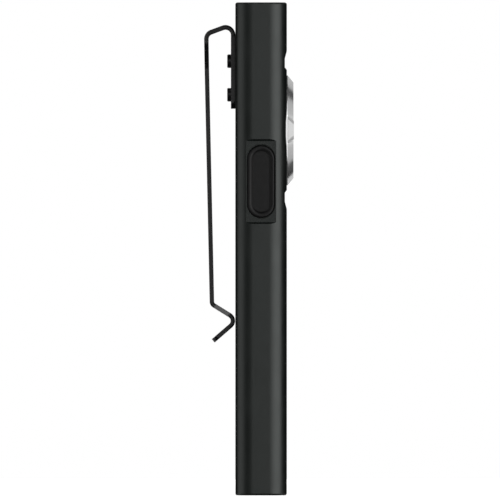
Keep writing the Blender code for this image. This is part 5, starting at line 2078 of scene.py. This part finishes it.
@dataclass(frozen=True)
class Panel:
    """A soft light panel that faces the object.

    The azimuth runs from the camera's side, -Y, towards +X, and the half angles are how far the
    panel reaches to each side and up and down, as the object sees it, all in degrees. It may light
    some pieces only, or skip some.
    """

    name: str
    azimuth: float
    elevation: float
    half_across: float
    half_up: float
    radiance: float
    target: Vec3 = (0.0, 0.0, 69.0 * MM)
    distance: float = 600 * MM
    lights: tuple[str, ...] = ()
    skips: tuple[str, ...] = ()
    diffuse_only: bool = False

    def build(self) -> None:
        """Makes the area lamp."""
        azimuth, elevation = math.radians(self.azimuth), math.radians(self.elevation)
        level = math.cos(elevation)
        towards = Vector(
            (math.sin(azimuth) * level, -math.cos(azimuth) * level, math.sin(elevation))
        )
        lamp = bpy.data.lights.new(self.name, "AREA")
        lamp.shape = "RECTANGLE"
        lamp.size = 2 * self.distance * math.tan(math.radians(self.half_across))
        lamp.size_y = 2 * self.distance * math.tan(math.radians(self.half_up))
        lamp.energy = self.radiance * math.pi * lamp.size * lamp.size_y
        thing = bpy.data.objects.new(self.name, lamp)
        thing.location = Vector(self.target) + towards * self.distance
        thing.rotation_mode = "QUATERNION"
        thing.rotation_quaternion = (-towards).to_track_quat("-Z", "Y")
        thing.visible_camera = False
        thing.visible_glossy = not self.diffuse_only
        bpy.context.scene.collection.objects.link(thing)
        if self.lights or self.skips:
            thing.light_linking.receiver_collection = self.receivers()

    def receivers(self) -> bpy.types.Collection:
        """Makes the collection that says which pieces the panel lights or skips.

        Returns:
            The collection.
        """
        receivers = bpy.data.collections.new(f"{self.name}_receivers")
        for name in self.lights or self.skips:
            receivers.objects.link(bpy.data.objects[name])
        for link in receivers.collection_objects:
            link.light_linking.link_state = "INCLUDE" if self.lights else "EXCLUDE"
        return receivers


@dataclass
class Studio:
    """The white room: its light, its floor and the camera."""

    ambient: float = 0.4
    room_level: float = 0.02
    floor_radius: float = 400 * MM
    floor_gap: float = 0.05 * MM
    floor_white: float = 0.85
    floor_glow: float = 0.55
    lens: float = 1500.0
    sensor: float = 36.0
    clip_range: tuple[float, float] = (0.1, 20.0)
    frame: float = 140.7 * MM
    aim: Vec3 = (-3.12 * MM, -15.0 * MM, 69.03 * MM)
    panels: tuple[Panel, ...] = (
        Panel("key_panel", 33.0, 0.0, 21.0, 32.0, 2.8),
        Panel("side_panel", -63.0, 0.0, 24.0, 32.0, 1.05),
        Panel("front_panel", 1.0, -2.0, 9.0, 8.0, 0.43, distance=FAR, skips=(DIAL, STRIP)),
        Panel("upper_panel", 1.0, 18.0, 9.0, 12.0, 1.46, distance=FAR, skips=(DIAL, STRIP)),
        Panel("strip_panel", -4.0, 0.0, 7.0, 4.0, 0.83, distance=FAR, lights=(STRIP,)),
        Panel("slant_panel", -15.0, 8.5, 6.0, 4.0, 3.8, distance=FAR, lights=(STRIP,)),
        Panel("strip_side", -112.0, -22.0, 45.0, 16.0, 0.4, lights=(STRIP,)),
        Panel("rim_panel", 0.0, 0.0, 25.0, 65.0, 0.88, DIAL_CENTRE, NEAR, lights=(DIAL,)),
        Panel("flank_panel", 100.0, 0.0, 12.0, 12.0, 0.7, DIAL_CENTRE, lights=(DIAL,)),
        Panel("flank_halo", 100.0, 0.0, 26.0, 25.0, 0.42, DIAL_CENTRE, lights=(DIAL,)),
        Panel("flank_far", 108.0, 0.0, 32.0, 32.0, 0.06, DIAL_CENTRE, lights=(DIAL,)),
        Panel("end_upper", 156.5, 17.0, 15.5, 18.0, 0.5, DIAL_CENTRE, lights=(DIAL,)),
        Panel("end_lower", 161.5, -17.0, 10.5, 18.0, 0.6, DIAL_CENTRE, lights=(DIAL,)),
        Panel("back_panel", 180.0, 20.0, 40.0, 40.0, 0.8, diffuse_only=True),
        Panel("low_right", 112.0, -44.0, 42.0, 19.0, 0.5, skips=(DIAL,)),
        Panel("low_left", -118.0, -44.0, 42.0, 19.0, 0.5, skips=(DIAL,)),
        Panel("high_right", 112.0, 44.0, 42.0, 19.0, 0.35, skips=(DIAL,)),
        Panel("high_left", -118.0, 44.0, 42.0, 19.0, 0.35, skips=(DIAL,)),
        Panel("ceiling", 0.0, 90.0, 20.0, 20.0, 0.7, skips=(DIAL,)),
    )

    def build(self) -> None:
        """Makes the lamps, the world, the floor and the camera."""
        for panel in self.panels:
            panel.build()
        self.build_world()
        self.build_floor()
        self.build_camera()
        bpy.context.scene.view_settings.view_transform = "Standard"

    def build_world(self) -> None:
        """Makes the background: white to the camera, soft light on matt surfaces, else dim."""
        world = bpy.data.worlds.new("studio_world")
        world.use_nodes = True
        world.cycles.sampling_method = "NONE"
        bpy.context.scene.world = world
        nodes = Nodes(world.node_tree)
        rays = nodes.add("ShaderNodeLightPath").outputs
        shown = nodes.maths("ADD", rays["Is Glossy Ray"], rays["Is Transmission Ray"], clamp=True)
        lit = nodes.mix(shown, self.ambient, self.room_level)
        strength = nodes.mix(rays["Is Camera Ray"], lit, 1.0)
        background = world.node_tree.nodes["Background"]
        background.inputs["Color"].default_value = (1.0, 1.0, 1.0, 1.0)
        world.node_tree.links.new(strength, background.inputs["Strength"])

    def build_floor(self) -> None:
        """Makes a round pale floor that keeps the object's shadow."""
        values = {
            "Base Color": (self.floor_white, self.floor_white, self.floor_white, 1.0),
            "Roughness": 0.9,
            "Specular IOR Level": 0.0,
            "Emission Color": (1.0, 1.0, 1.0, 1.0),
        }
        material, nodes, shader = new_material("floor_white", values)
        seen = nodes.add("ShaderNodeLightPath").outputs["Is Camera Ray"]
        glow = nodes.maths("MULTIPLY", seen, self.floor_glow)
        material.node_tree.links.new(glow, shader.inputs["Emission Strength"])
        outline = circle(self.floor_radius, steps=96)
        bm = bmesh.new()
        bm.faces.new([bm.verts.new((a, b, -self.floor_gap)) for a, b in outline])
        floor = Piece("floor", bm).dress(material).thing
        floor.visible_glossy = False
        floor.visible_shadow = False

    def build_camera(self) -> None:
        """Makes the camera: a long lens, square to the narrow side with the port."""
        camera = bpy.data.cameras.new("camera")
        camera.sensor_width = self.sensor
        camera.lens = self.lens
        camera.clip_start, camera.clip_end = self.clip_range
        thing = bpy.data.objects.new("camera", camera)
        distance = self.frame * self.lens / self.sensor
        thing.location = (self.aim[0], self.aim[1] - distance, self.aim[2])
        thing.rotation_euler = (math.pi / 2, 0.0, 0.0)
        bpy.context.scene.collection.objects.link(thing)
        bpy.context.scene.camera = thing


def dress_solids(frame: dict, finisher: Finisher) -> None:
    """Gives each carried-over solid the material of its slot.

    Args:
        finisher: The source of the materials.
    """
    for row in frame["record"]["subparts"]:
        solid = frame["nodes"][row["node"]]
        slot = row["material_slot"]
        solid.data.materials.clear()
        solid.data.materials.append(finisher.of(slot))
        LOG.info("%s: %s", row["node"], slot)


def main() -> None:
    """Builds the light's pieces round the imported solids, then the studio."""
    logging.basicConfig(level=logging.INFO, format="%(name)s: %(message)s")
    for thing in list(bpy.data.objects):
        bpy.data.objects.remove(thing)
    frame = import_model()
    finisher = Finisher()
    dress_solids(frame, finisher)
    repeats, strips = repeat_tree(), strip_tree()
    BodyTube().build(finisher)
    Dial().build(finisher)
    Clip().build(finisher, strips, repeats)
    port = Port()
    port.build_cover(finisher)
    port.build_socket(finisher)
    port.build_contacts(finisher, repeats)
    TailEnd().build(finisher, repeats)
    head = HeadEnd()
    head.build_bezel(finisher, repeats)
    head.build_window(finisher)
    head.build_lenses(finisher)
    Studio().build()


if __name__ == "__main__":
    main()
